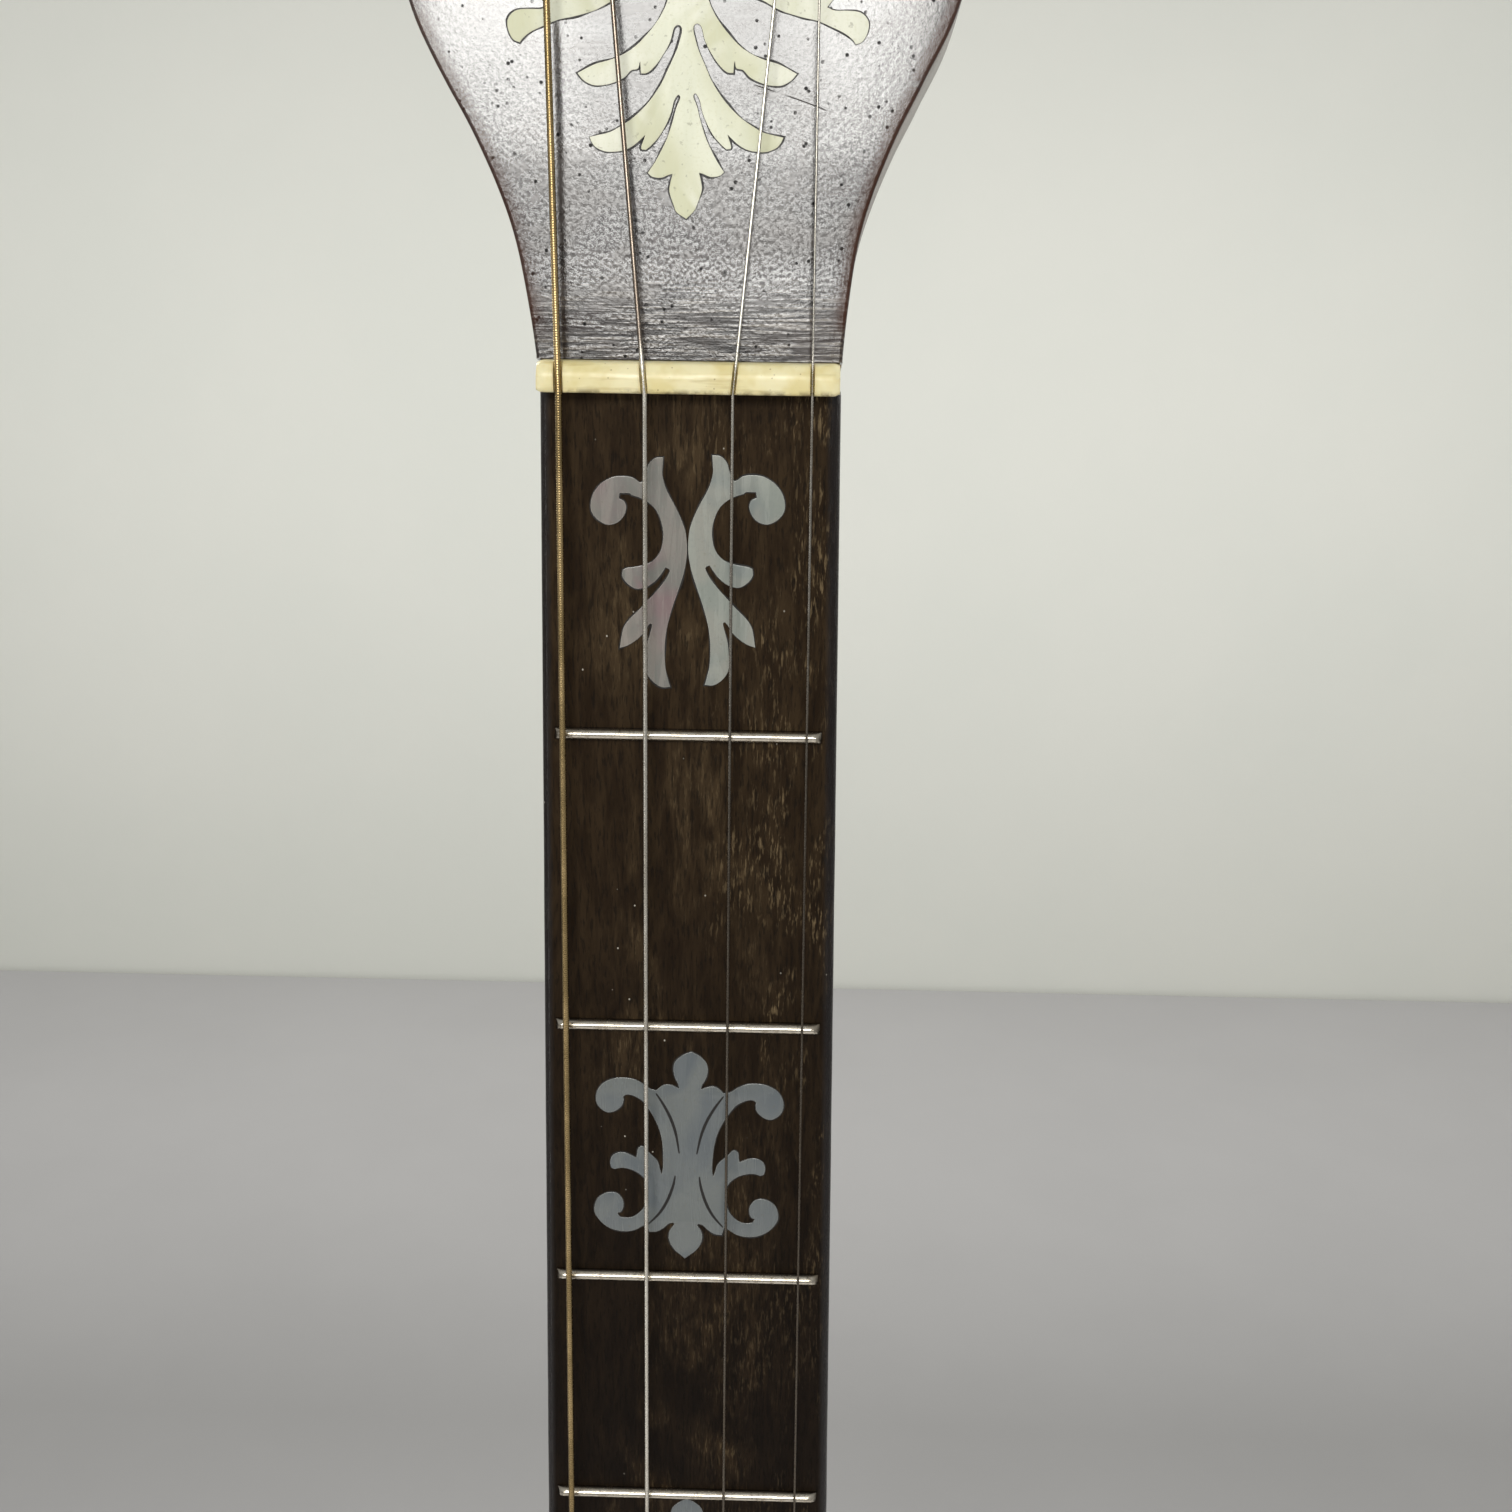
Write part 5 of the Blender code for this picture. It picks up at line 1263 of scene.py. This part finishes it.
def make_tuner(number):
    x, up = PEG_HOLES[number]
    label = 4 - number
    at = HEADSTOCK @ Matrix.Translation((x, 0, up))
    seat = HEADSTOCK_THICK + GAP
    bore = POST_RADIUS + GAP
    # In front: a washer and a thin bushing nut. Behind: the gear barrel.
    washer = lathed(boxed(0.0048, 0.0070, -0.0008, -GAP / 2), 0.00025, 2, 64, True)
    piece(f"tuner_washer_{label}", washer, "nickel", stands_for=(f"tuner_housing_{label}",), at=at)
    nut = combined(
        slab(arc((0, 0), 0.0064, 0, 360, 6)[:-1], -0.0021, -0.00085, 0.0002, 0.0002, 2),
        cross_rod(0, 0, -0.006, 0.002, bore, 40),
    )
    piece(f"tuner_nut_{label}", nut, "nickel", at=at)
    barrel = [
        (bore, -0.0005), (0.0050, -0.0005), (0.0050, seat), (0.0072, seat), (0.0080, seat + 0.0010),
        (0.0080, seat + 0.0030), (0.0077, seat + 0.0033), (0.0077, seat + 0.0038), (0.0080, seat + 0.0041),
        (0.0080, seat + 0.0088), (0.0068, HOUSING_BACK), (bore, HOUSING_BACK),
    ]  # fmt: skip
    piece(f"tuner_barrel_{label}", lathed(barrel, 0.00025, 2, 72, True), "nickel", at=at)
    profile = [
        (0, -0.0128), (0.0024, -0.0128), (POST_RADIUS, -0.0122), (POST_RADIUS, -0.0088), (0.0028, -0.0082),
        (POST_WAIST, -0.0074), (POST_WAIST, -0.0027), (0.0027, -0.0025), (POST_RADIUS, -0.0022),
        (POST_RADIUS, POST_END), (0, POST_END),
    ]  # fmt: skip
    hole = rod((0, STRING_HOLE, -0.006), (0, STRING_HOLE, 0.006), 0.0006, 20)
    post = combined(lathed(profile, 0.0003, 3, 56), hole)
    piece(f"tuner_shaft_{label}", post, "nickel", f"post_{label}", (f"tuner_post_{label}",), at)
    line = [
        (0, STRING_HOLE, -0.0042), (0, STRING_HOLE, 0.0), (0, -0.00695, 0.0036), (0.0003, -0.0073, 0.0042)
    ]
    end = tube(line, STRING_RADII[number], 10)
    piece(
        f"string_end_{label}", end, "winding" if number == 0 else "steel", f"post_{label}", at=at,
    )

    shaft = [
        (0, POST_END + 0.0006), (0.0029, POST_END + 0.0006), (POST_RADIUS, POST_END + 0.0009),
        (POST_RADIUS, HOUSING_BACK + 0.0006), (0.0044, HOUSING_BACK + 0.0007),
        (0.0044, HOUSING_BACK + 0.0022), (0.0038, HOUSING_BACK + 0.0026), (0.0026, HOUSING_BACK + 0.0026),
        (0.0026, HOUSING_BACK + 0.0140), (0, HOUSING_BACK + 0.0140),
    ]  # fmt: skip
    body = f"knob_{label}"
    piece(f"tuner_collar_{label}", lathed(shaft, 0.0002, 2, 48), "nickel", body, (f"tuner_knob_{label}",), at)
    sections = (
        (0.0024, 0.0040, 0.0038), (0.0030, 0.0048, 0.0043), (0.0048, 0.0072, 0.0046),
        (0.0078, 0.0096, 0.0048), (0.0120, 0.0104, 0.0048), (0.0155, 0.0098, 0.0044),
        (0.0172, 0.0084, 0.0036), (0.0180, 0.0066, 0.0026), (0.0184, 0.0040, 0.0014),
    )  # fmt: skip
    rings = []
    for back, half_x, half_z in stations(sections, 4):
        ring = []
        for t in (math.tau * k / 48 for k in range(48)):
            ring.append((
                half_x * powered(math.cos(t), 0.86), HOUSING_BACK + back, half_z * powered(math.sin(t), 0.86)
            ))
        rings.append(ring)
    piece(f"tuner_button_{label}", lofted(rings), "pearloid", body, at=at, sharp=60)


# ---- pot -----------------------------------------------------------------------------------------
def hook_angles():
    first = math.radians(11)
    step = (math.tau - 2 * first) / (HOOKS - 1)
    return [first + step * k for k in range(HOOKS)]


def round_the_pot(angle):
    return POT @ Matrix.Rotation(angle, 4, "Y")


def dowel_opening(extra=GAP):
    half_x, half_y, z = DOWEL_HALF[0] + extra, DOWEL_HALF[1] + extra, RIM_RADIUS
    return block((-half_x, DOWEL_DEPTH - half_y, z - 0.030), (half_x, DOWEL_DEPTH + half_y, z + 0.010))


def bolt_opening():
    return dowel_rod(-RIM_RADIUS - 0.012, -RIM_RADIUS + 0.030, 0.0034, 24)


def boxed(inner, outer, front, back):
    """A ring's square section: radius and depth of its four corners."""
    return [(inner, front), (outer, front), (outer, back), (inner, back)]


def make_pot():
    inner, top = RIM_RADIUS - RIM_WALL, 0.0068
    rim = lathed(boxed(inner, RIM_RADIUS, top, CAP_FRONT), 0.0004, 2, RIM_STEPS, True)
    rim = combined(combined(rim, dowel_opening()), bolt_opening())
    pot_piece("rim_wood", rim, "rim", "rim")
    cap = lathed(boxed(inner, RIM_RADIUS, CAP_FRONT, RIM_BACK), 0.0014, 4, RIM_STEPS, True)
    pot_piece("rim_cap", cap, "rim_cap")
    ring = turned(arc((RIM_RADIUS - 0.0031, HEAD_DROP), 0.0030, 0, 345, 23), RIM_STEPS)
    pot_piece("tone_tube", ring, "brass", "tone_ring")
    # The head, drawn over the tone ring into its collar.
    over, down, thick = RIM_RADIUS - 0.0031, HEAD_DROP, 0.00035
    out, low = RIM_RADIUS + GAP + thick, 0.012
    profile = [(0, 0)] + [(over * k / 12, 0) for k in range(1, 13)]
    bend = [math.pi / 2 * k / 8 for k in range(1, 9)]
    profile += [(over + (out - over) * math.sin(a), down * (1 - math.cos(a))) for a in bend]
    profile += [(out, low), (out - thick, low)]
    profile += [
        (over + (out - thick - over) * math.sin(a), down - (down - thick) * math.cos(a))
        for a in reversed(bend)
    ]
    profile += [(over * k / 12, thick) for k in range(12, 0, -1)] + [(0, thick)]
    pot_piece("drum_head", turned(profile, RIM_STEPS), "skin", "head", sharp=60)
    flesh = boxed(0.14065, 0.1442, 0.0090, 0.0130)
    pot_piece("flesh_band", lathed(flesh, 0.0008, 3, RIM_STEPS, True), "nickel", "flesh_hoop")
    tension = [
        (0.1409, 0.0020), (0.1422, 0.0020), (0.1422, 0.0042), (0.1450, 0.0042), (0.1450, 0.0020),
        (0.1472, 0.0020), (0.1472, 0.0066), (0.1468, 0.0070), (0.1472, 0.0074), (0.1472, 0.0150),
        (0.1446, 0.0150), (0.1446, 0.0087), (0.1409, 0.0087),
    ]  # fmt: skip
    pot_piece("tension_ring", lathed(tension, 0.0004, 3, HOOP_STEPS, True), "nickel", "tension_hoop")


def make_bracket_band():
    front, back = BAND_SPAN
    inner = RIM_RADIUS + GAP
    band = lathed(boxed(inner, BAND_RADIUS, front, back), 0.0004, 2, HOOP_STEPS, True)
    band = combined(combined(band, dowel_opening()), bolt_opening())
    pot_piece("band_strap", band, "nickel", "bracket_band")
    # One cast shoe, made once and set round the band.
    half, root = 0.0045, BAND_RADIUS - 0.0006
    nose = arc((0, HOOK_CIRCLE), half, 0, 180, 20)
    foot = [(-half - 0.0010, root + 0.0008), (-half - 0.0016, root)]
    foot += mirrored(foot)
    shoe = slab([*nose, *foot], 0.0345, 0.0425, 0.0007, 0.0007, 3)
    shoe = combined(shoe, cross_rod(0, HOOK_CIRCLE, 0.030, 0.048, 0.0021, 20))
    first = piece("band_shoe_01", shoe, "nickel", at=round_the_pot(hook_angles()[0]))
    for number, angle in enumerate(hook_angles()[1:], 2):
        placed(f"band_shoe_{number:02d}", first.data, "nickel", at=round_the_pot(angle))


def make_hooks():
    line = (
        (0.1436, 0.0036, 0.0009), (0.1436, 0.0016, 0.0010), (0.1443, 0.0006, 0.0010),
        (0.1472, 0.0004, 0.0011), (0.1494, 0.0008, 0.0014), (HOOK_CIRCLE, 0.0030, 0.0016),
    )  # fmt: skip
    path = curve_through(line, 6) + [(HOOK_CIRCLE, 0.0030 + 0.0505 * k / 6, 0.0016) for k in range(1, 7)]
    path.append((HOOK_CIRCLE, 0.0540, 0.0011))
    hook = tube([(0, depth, radius) for radius, depth, _ in path], [thick for _, _, thick in path], 16)
    front, back = 0.0428, 0.0520
    cap = slab(arc((0, HOOK_CIRCLE), 0.0036, 30, 390, 6)[:-1], front, back, 0.0004, 0.0004, 2)
    profile = [
        (0, front), (0.0034, front), (0.0038, front + 0.0004), (0.0038, back - 0.0008), (0.0030, back),
        (0, back),
    ]  # fmt: skip
    dome = moved(lathed(profile, 0.0002, 2, 36), Matrix.Translation((0, 0, HOOK_CIRCLE)))
    nut = combined(cap, dome, "INTERSECT")
    nut = combined(nut, cross_rod(0, HOOK_CIRCLE, 0.040, 0.060, 0.00165, 20))
    angles = hook_angles()
    rod_piece = piece("hook_rod_01", hook, "nickel", stands_for=("hook_01",), at=round_the_pot(angles[0]))
    nut_piece = piece("hook_nut_01", nut, "nickel", at=round_the_pot(angles[0]), sharp=25)
    for number, angle in enumerate(angles[1:], 2):
        at = round_the_pot(angle)
        placed(f"hook_rod_{number:02d}", rod_piece.data, "nickel", stands_for=(f"hook_{number:02d}",), at=at)
        placed(f"hook_nut_{number:02d}", nut_piece.data, "nickel", at=at)


def make_dowel_and_brace():
    heel, tail = RIM_RADIUS, -RIM_RADIUS + RIM_WALL + GAP + 0.0006
    rings = []
    for k in range(9):
        t = k / 8
        half_x, half_y = (a + (b - a) * t for a, b in zip(DOWEL_HALF, DOWEL_TAIL_HALF))
        z = heel - 0.0005 + (tail - heel + 0.0005) * t
        cut = 0.0022
        corners = [(half_x, half_y - cut), (half_x - cut, half_y)]
        corners += mirrored(corners)
        corners += [(-x, -y) for x, y in corners]
        rings.append([(x, DOWEL_DEPTH + y, z) for x, y in rounded(corners, 0.0008, 3, True)])
    stick = lofted(rings)
    stick = combined(stick, dowel_rod(heel - 0.003, heel + 0.014, 0.0075, 32, 0.0006), "UNION")
    stick = combined(stick, dowel_rod(tail - 0.002, tail + 0.022, 0.0033, 24))
    pot_piece("dowel_wood", stick, "stick", "dowel_stick")

    half_x, half_y, thick = 0.028, 0.016, 0.003
    back_z = math.sqrt((RIM_RADIUS - RIM_WALL) ** 2 - half_x**2) - 0.0006
    corners = [(half_x, half_y), (-half_x, half_y), (-half_x, -half_y), (half_x, -half_y)]
    ends = rounded(corners, 0.006, 6, True)
    plate = lofted([[(x, DOWEL_DEPTH + y, z) for x, y in ends] for z in (back_z - thick, back_z)])
    plate = softened(plate, 0.0004, 2, 50)
    boss_back = DOWEL_DEPTH + DOWEL_HALF[1] + 0.007
    boss_front = DOWEL_DEPTH + DOWEL_HALF[1] + 0.001
    boss = block((-0.005, boss_front, back_z - 0.010), (0.005, boss_back, back_z - 0.001), 0.0008, 3)
    plate = combined(plate, boss, "UNION")
    plate = combined(plate, dowel_opening())
    screw_z = back_z - 0.0062
    plate = combined(plate, cross_rod(0, screw_z, DOWEL_DEPTH + 0.010, boss_back + 0.005, 0.0018, 24))
    pot_piece("brace_plate", plate, "nickel", "neck_brace")
    tip = DOWEL_DEPTH + DOWEL_HALF[1] + GAP
    end = boss_back + 0.0010
    shank = lathed([(0, tip), (0.0012, tip), (0.0015, tip + 0.0005), (0.0015, end), (0, end)], 0.0001, 2, 24)
    place = POT @ Matrix.Translation((0, 0, screw_z))
    head = knurled(0.0042, boss_back + 0.0009, boss_back + 0.0048, 28)
    piece("brace_thumb_screw", merged(shank, head), "nickel", "brace_screw", ("brace_screw",), place)


def knurled(radius, front, back, teeth):
    """A thumb screw's head with a milled edge."""
    steps = teeth * 4
    wave = (1.0, 0.965, 0.93, 0.965)
    rows = (
        (0.72, front), (0.93, front + 0.0003), (1.0, front + 0.0008), (1.0, back - 0.0008),
        (0.93, back - 0.0003), (0.72, back),
    )  # fmt: skip
    rings = []
    for share, depth in rows:
        ring = []
        for k in range(steps):
            a = math.tau * k / steps
            r = radius * (share * wave[k % 4] if share > 0.9 else share)
            ring.append((r * math.sin(a), depth, r * math.cos(a)))
        rings.append(ring)
    return lofted(rings)


# ---- tail and bridge -----------------------------------------------------------------------------
LID_HINGE_DOWN, LID_HINGE_DEPTH, LID_FRONT, LID_FACE, LID_THICK = 0.1330, -0.0103, 0.1035, -0.0128, 0.0008
SCREW_DOWN, HANGER_DOWN = 0.1440, 0.1530
STRAP_DOWN, LIP_SPAN = (BAND_RADIUS + GAP, BAND_RADIUS + GAP + 0.002), (0.024, 0.026)


def make_tail():
    # The plate is an oblong with rounded corners.
    half, back_end, front_end = PLATE_HALF, -PLATE_BACK, -PLATE_FRONT
    corners = [(half, back_end), (half, front_end), (-half, front_end), (-half, back_end)]
    outline = rounded(corners, 0.0045, 7, True)
    plate = slab(outline, PLATE_FACE, PLATE_FACE + PLATE_THICK, 0.0003, 0.0003, 2)
    for number in range(4):
        pin = cross_rod(
            pin_x(number), -TAIL_PIN_DOWN, -0.0112, PLATE_FACE + 0.0007, TAIL_PIN_RADIUS, 20, 0.00025
        )
        plate = combined(plate, pin, "UNION")
    for side in (-1, 1):
        x = side * (half - 0.0012)
        low, high = -LID_HINGE_DOWN - 0.0020, -LID_HINGE_DOWN + 0.0020
        ear = block((x - 0.0011, -0.0122, low), (x + 0.0011, PLATE_FACE + 0.0007, high), 0.0004, 3)
        plate = combined(plate, ear, "UNION")
    plate = combined(plate, cross_rod(0, -SCREW_DOWN, -0.020, 0.010, 0.0020, 28))
    plate = combined(plate, cross_rod(0, -HANGER_DOWN, -0.020, 0.010, 0.0021, 28))
    hinge_y, hinge_z = LID_HINGE_DEPTH, -LID_HINGE_DOWN
    plate = combined(plate, rod((-0.02, hinge_y, hinge_z), (0.02, hinge_y, hinge_z), 0.0009, 20))
    pot_piece("tail_plate", plate, "nickel", "tailpiece")

    rise, length = LID_FACE - LID_HINGE_DEPTH, LID_HINGE_DOWN - LID_FRONT
    inside = rise + LID_THICK
    side = [
        (-0.0006, -0.0006), (rise + 0.0006, -0.0010), (rise, 0.0006), (rise, length - 0.0008),
        (rise + 0.0008, length), (rise + 0.0020, length), (rise + 0.0020, length - LID_THICK),
        (inside + 0.0004, length - LID_THICK), (inside, length - 0.0014), (inside, 0.0014), (0.0006, 0.0006),
    ]  # fmt: skip
    side = rounded(side, 0.00035, 3, True)
    wide = half - 0.0028
    lid = lofted([[(x, y, z) for y, z in side] for x in (-wide, -wide + 0.0002, wide - 0.0002, wide)])
    lid = combined(lid, rod((-half + 0.0002, 0, 0), (half - 0.0002, 0, 0), 0.00065, 20, 0.0001), "UNION")
    place = POT @ Matrix.Translation((0, hinge_y, hinge_z))
    piece("tail_cover", lid, "nickel", "lid", ("tailpiece_lid",), place)

    strap = block((-0.008, LIP_SPAN[0], -STRAP_DOWN[1]), (0.008, 0.0465, -STRAP_DOWN[0]), 0.0004, 2)
    lip = block((-0.0079, LIP_SPAN[0], -0.1585), (0.0079, LIP_SPAN[1], -STRAP_DOWN[0] - 0.0002), 0.0004, 2)
    bracket = combined(strap, lip, "UNION")
    bracket = combined(bracket, cross_rod(0, -HANGER_DOWN, 0.010, 0.030, 0.0021, 24))
    bracket = combined(bracket, bolt_opening())
    pot_piece("hanger_strap", bracket, "nickel", "tail_bracket")

    head = PLATE_FACE - 0.0022
    profile = [
        (0, head), (0.0026, head), (0.0033, head + 0.0008), (0.0033, PLATE_FACE - GAP / 2),
        (0.0018, PLATE_FACE - GAP / 2),
        (0.0018, LIP_SPAN[1] + GAP / 2), (0.0034, LIP_SPAN[1] + GAP / 2), (0.0034, LIP_SPAN[1] + 0.0035),
        (0.0018, LIP_SPAN[1] + 0.0038), (0.0018, 0.0330), (0, 0.0330),
    ]  # fmt: skip
    slot = block((-0.0004, head - 0.001, -0.004), (0.0004, head + 0.0008, 0.004))
    bolt = combined(lathed(profile, 0.00025, 2, 40), slot)
    place = POT @ Matrix.Translation((0, 0, -HANGER_DOWN))
    piece("hanger_screw", bolt, "nickel", stands_for=("hanger_bolt",), at=place)

    shank = [
        (0, -0.0104), (0.0036, -0.0100), (0.0016, -0.0096), (0.0016, 0.0012), (0.0010, 0.0016), (0, 0.0016)
    ]
    thumb = merged(lathed(shank, 0.0001, 2, 28), knurled(0.0043, -0.0138, -0.0101, 28))
    place = POT @ Matrix.Translation((0, 0, -SCREW_DOWN))
    piece("pressure_thumb_screw", thumb, "nickel", "pressure_screw", ("pressure_screw",), place)

    outer = -STRAP_DOWN[1] - GAP / 2
    flats = [(r[0], r[1] + DOWEL_DEPTH) for r in arc((0, 0), 0.0055, 0, 360, 6)[:-1]]
    hexagon = softened(
        lofted([[(x, y, z) for x, y in flats] for z in (outer - 0.0040, outer)]), 0.0004, 2, 20
    )
    bolt = merged(hexagon, dowel_rod(outer - 0.0010, -RIM_RADIUS + RIM_WALL + 0.019, 0.0030, 24, 0.0004))
    pot_piece("end_screw", bolt, "nickel", "end_bolt")


BRIDGE_EDGE = (
    (0.0210, 1.00), (0.0236, 0.93), (0.0275, 0.52), (0.0335, 0.18, C), (0.0340, 0.00, C), (0.0262, 0.00, C),
    (0.0245, 0.22), (0.0205, 0.42), (0.0150, 0.48), (0.0095, 0.42), (0.0062, 0.22), (0.0050, 0.00, C),
)  # fmt: skip


def make_bridge():
    half = [(x * 1000, h * BRIDGE_HEIGHT * 1000, *corner) for x, h, *corner in BRIDGE_EDGE]
    cap_at = (BRIDGE_HEIGHT - 0.0017) * 1000
    shape = scroll(mirrored(half) + half, 4)
    foot_y, z = HEAD_Y - FINE_GAP, NUT_Z - SCALE

    def body(points):
        rings = []
        for side, tuck in ((-1, 0.0003), (-1, 0.0), (1, 0.0), (1, 0.0003)):
            ring = []
            for (x, height), (ix, ih) in zip(points, offset(points, 0.0003)):
                px, ph = (ix, ih) if tuck else (x, height)
                thick = 0.0030 + (0.0013 - 0.0030) * max(0.0, height) / BRIDGE_HEIGHT
                ring.append((
                    px + BRIDGE_SHIFT, foot_y - max(0.0, ph), z + side * (thick + (0.0 if tuck else -0.0003))
                ))
            rings.append(ring)
        return lofted(rings)

    real = [(x / 1000, h / 1000) for x, h in shape]
    top = (-0.06, foot_y - 0.02, z - 0.01), (0.06, foot_y - cap_at / 1000, z + 0.01)
    cap = combined(body(real), block(*top), "INTERSECT")
    wood = combined(body(real), block(*top))
    for number, radius in enumerate(STRING_RADII):
        x, y = string_x(number, SCALE), bridge_y(radius)
        cap = combined(cap, rod((x, y, z - 0.005), (x, y, z + 0.005), radius + 0.00012, 16))
    piece("bridge_wood", wood, "bridge", stands_for=("bridge",))
    piece("bridge_cap", cap, "ebony")


# ---- the set -------------------------------------------------------------------------------------
def panel(name, place, target, size, power, colour=(1, 1, 1), spread=180):
    light = bpy.data.lights.new(name, "AREA")
    light.spread = math.radians(spread)
    light.shape, light.size, light.size_y = "RECTANGLE", *size
    light.energy, light.color = power, colour
    made = bpy.data.objects.new(name, light)
    made.location = place
    made.rotation_euler = (Vector(target) - Vector(place)).to_track_quat("-Z", "Y").to_euler()
    made.visible_camera = False
    bpy.context.scene.collection.objects.link(made)


WALL_Y, FLOOR_Z = 2.6, -1.232


def make_set():
    wall_look = painted_surface("studio wall", tone(236, 236, 227), tone(232, 233, 224), 1.5, 0.2)
    floor_look = painted_surface("studio floor", tone(208, 206, 206), tone(204, 202, 202), 2.0, 0.2)
    end = WALL_Y - 0.008
    floor = slab([(-7, -7), (7, -7), (7, end), (-7, end)], 0, 0.02)
    lay_down = Matrix.Translation((0, 0, FLOOR_Z)) @ Matrix.Rotation(-math.pi / 2, 4, "X")
    piece_of_set("studio_floor", moved(floor, lay_down), floor_look)
    wall = slab([(-7, -1.3), (7, -1.3), (7, 4), (-7, 4)], WALL_Y, WALL_Y + 0.02)
    piece_of_set("studio_wall", wall, wall_look)

    world = bpy.data.worlds.new("studio")
    bpy.context.scene.world = world
    world.use_nodes = True
    sky = world.node_tree.nodes["Background"].inputs
    sky["Color"].default_value, sky["Strength"].default_value = (0.82, 0.83, 0.83, 1), 0.43
    panel("front_panel", (-0.12, -1.10, 0.590), (0, 0, 0.01), (0.80, 0.44), 10.2, (1.0, 0.99, 0.955))
    panel("key", (-0.42, -1.15, 0.95), (0, 0, -0.05), (0.12, 0.12), 1.2, (1.0, 0.975, 0.94))
    panel("side_strip", (-0.85, -0.80, -0.35), (0, 0, -0.10), (0.10, 1.2), 0.9, (1.0, 0.99, 0.97))
    panel("overhead", (0, -1.9, 2.4), (0, -1.9, -1.2), (2.0, 1.4), 9, spread=60)
    panel("wall_light", (0, 1.45, -0.20), (0, WALL_Y, -0.20), (3.6, 0.8), 13.5)
    panel("back_left", (-1.7, 1.6, 0.8), (0, 0, -0.4), (1.2, 1.6), 9, spread=60)
    panel("back_right", (1.7, 1.5, 0.6), (0, 0, -0.4), (1.0, 1.4), 7, spread=60)

    camera = bpy.data.cameras.new("camera")
    camera.lens, camera.sensor_width = 43.32, 36
    camera.clip_start = 0.01
    eye = bpy.data.objects.new("camera", camera)
    eye.location = (0.0118, -0.20448, 0.00646)
    eye.rotation_euler = [math.radians(a) for a in (73.346, -0.708, 1.455)]
    bpy.context.scene.collection.objects.link(eye)
    bpy.context.scene.camera = eye
    bpy.context.scene.view_settings.view_transform = "Standard"


def piece_of_set(name, bm, look):
    mesh = mesh_of(name, bm)
    mesh.materials.append(look)
    made = bpy.data.objects.new(name, mesh)
    bpy.context.scene.collection.objects.link(made)


make_set()
make_neck()
make_veneer()
make_board()
make_frets()
make_nut()
make_board_inlays()
make_headstock_inlay()
make_strings()
for tuner in range(4):
    make_tuner(tuner)
make_pot()
make_bracket_band()
make_hooks()
make_dowel_and_brace()
make_tail()
make_bridge()
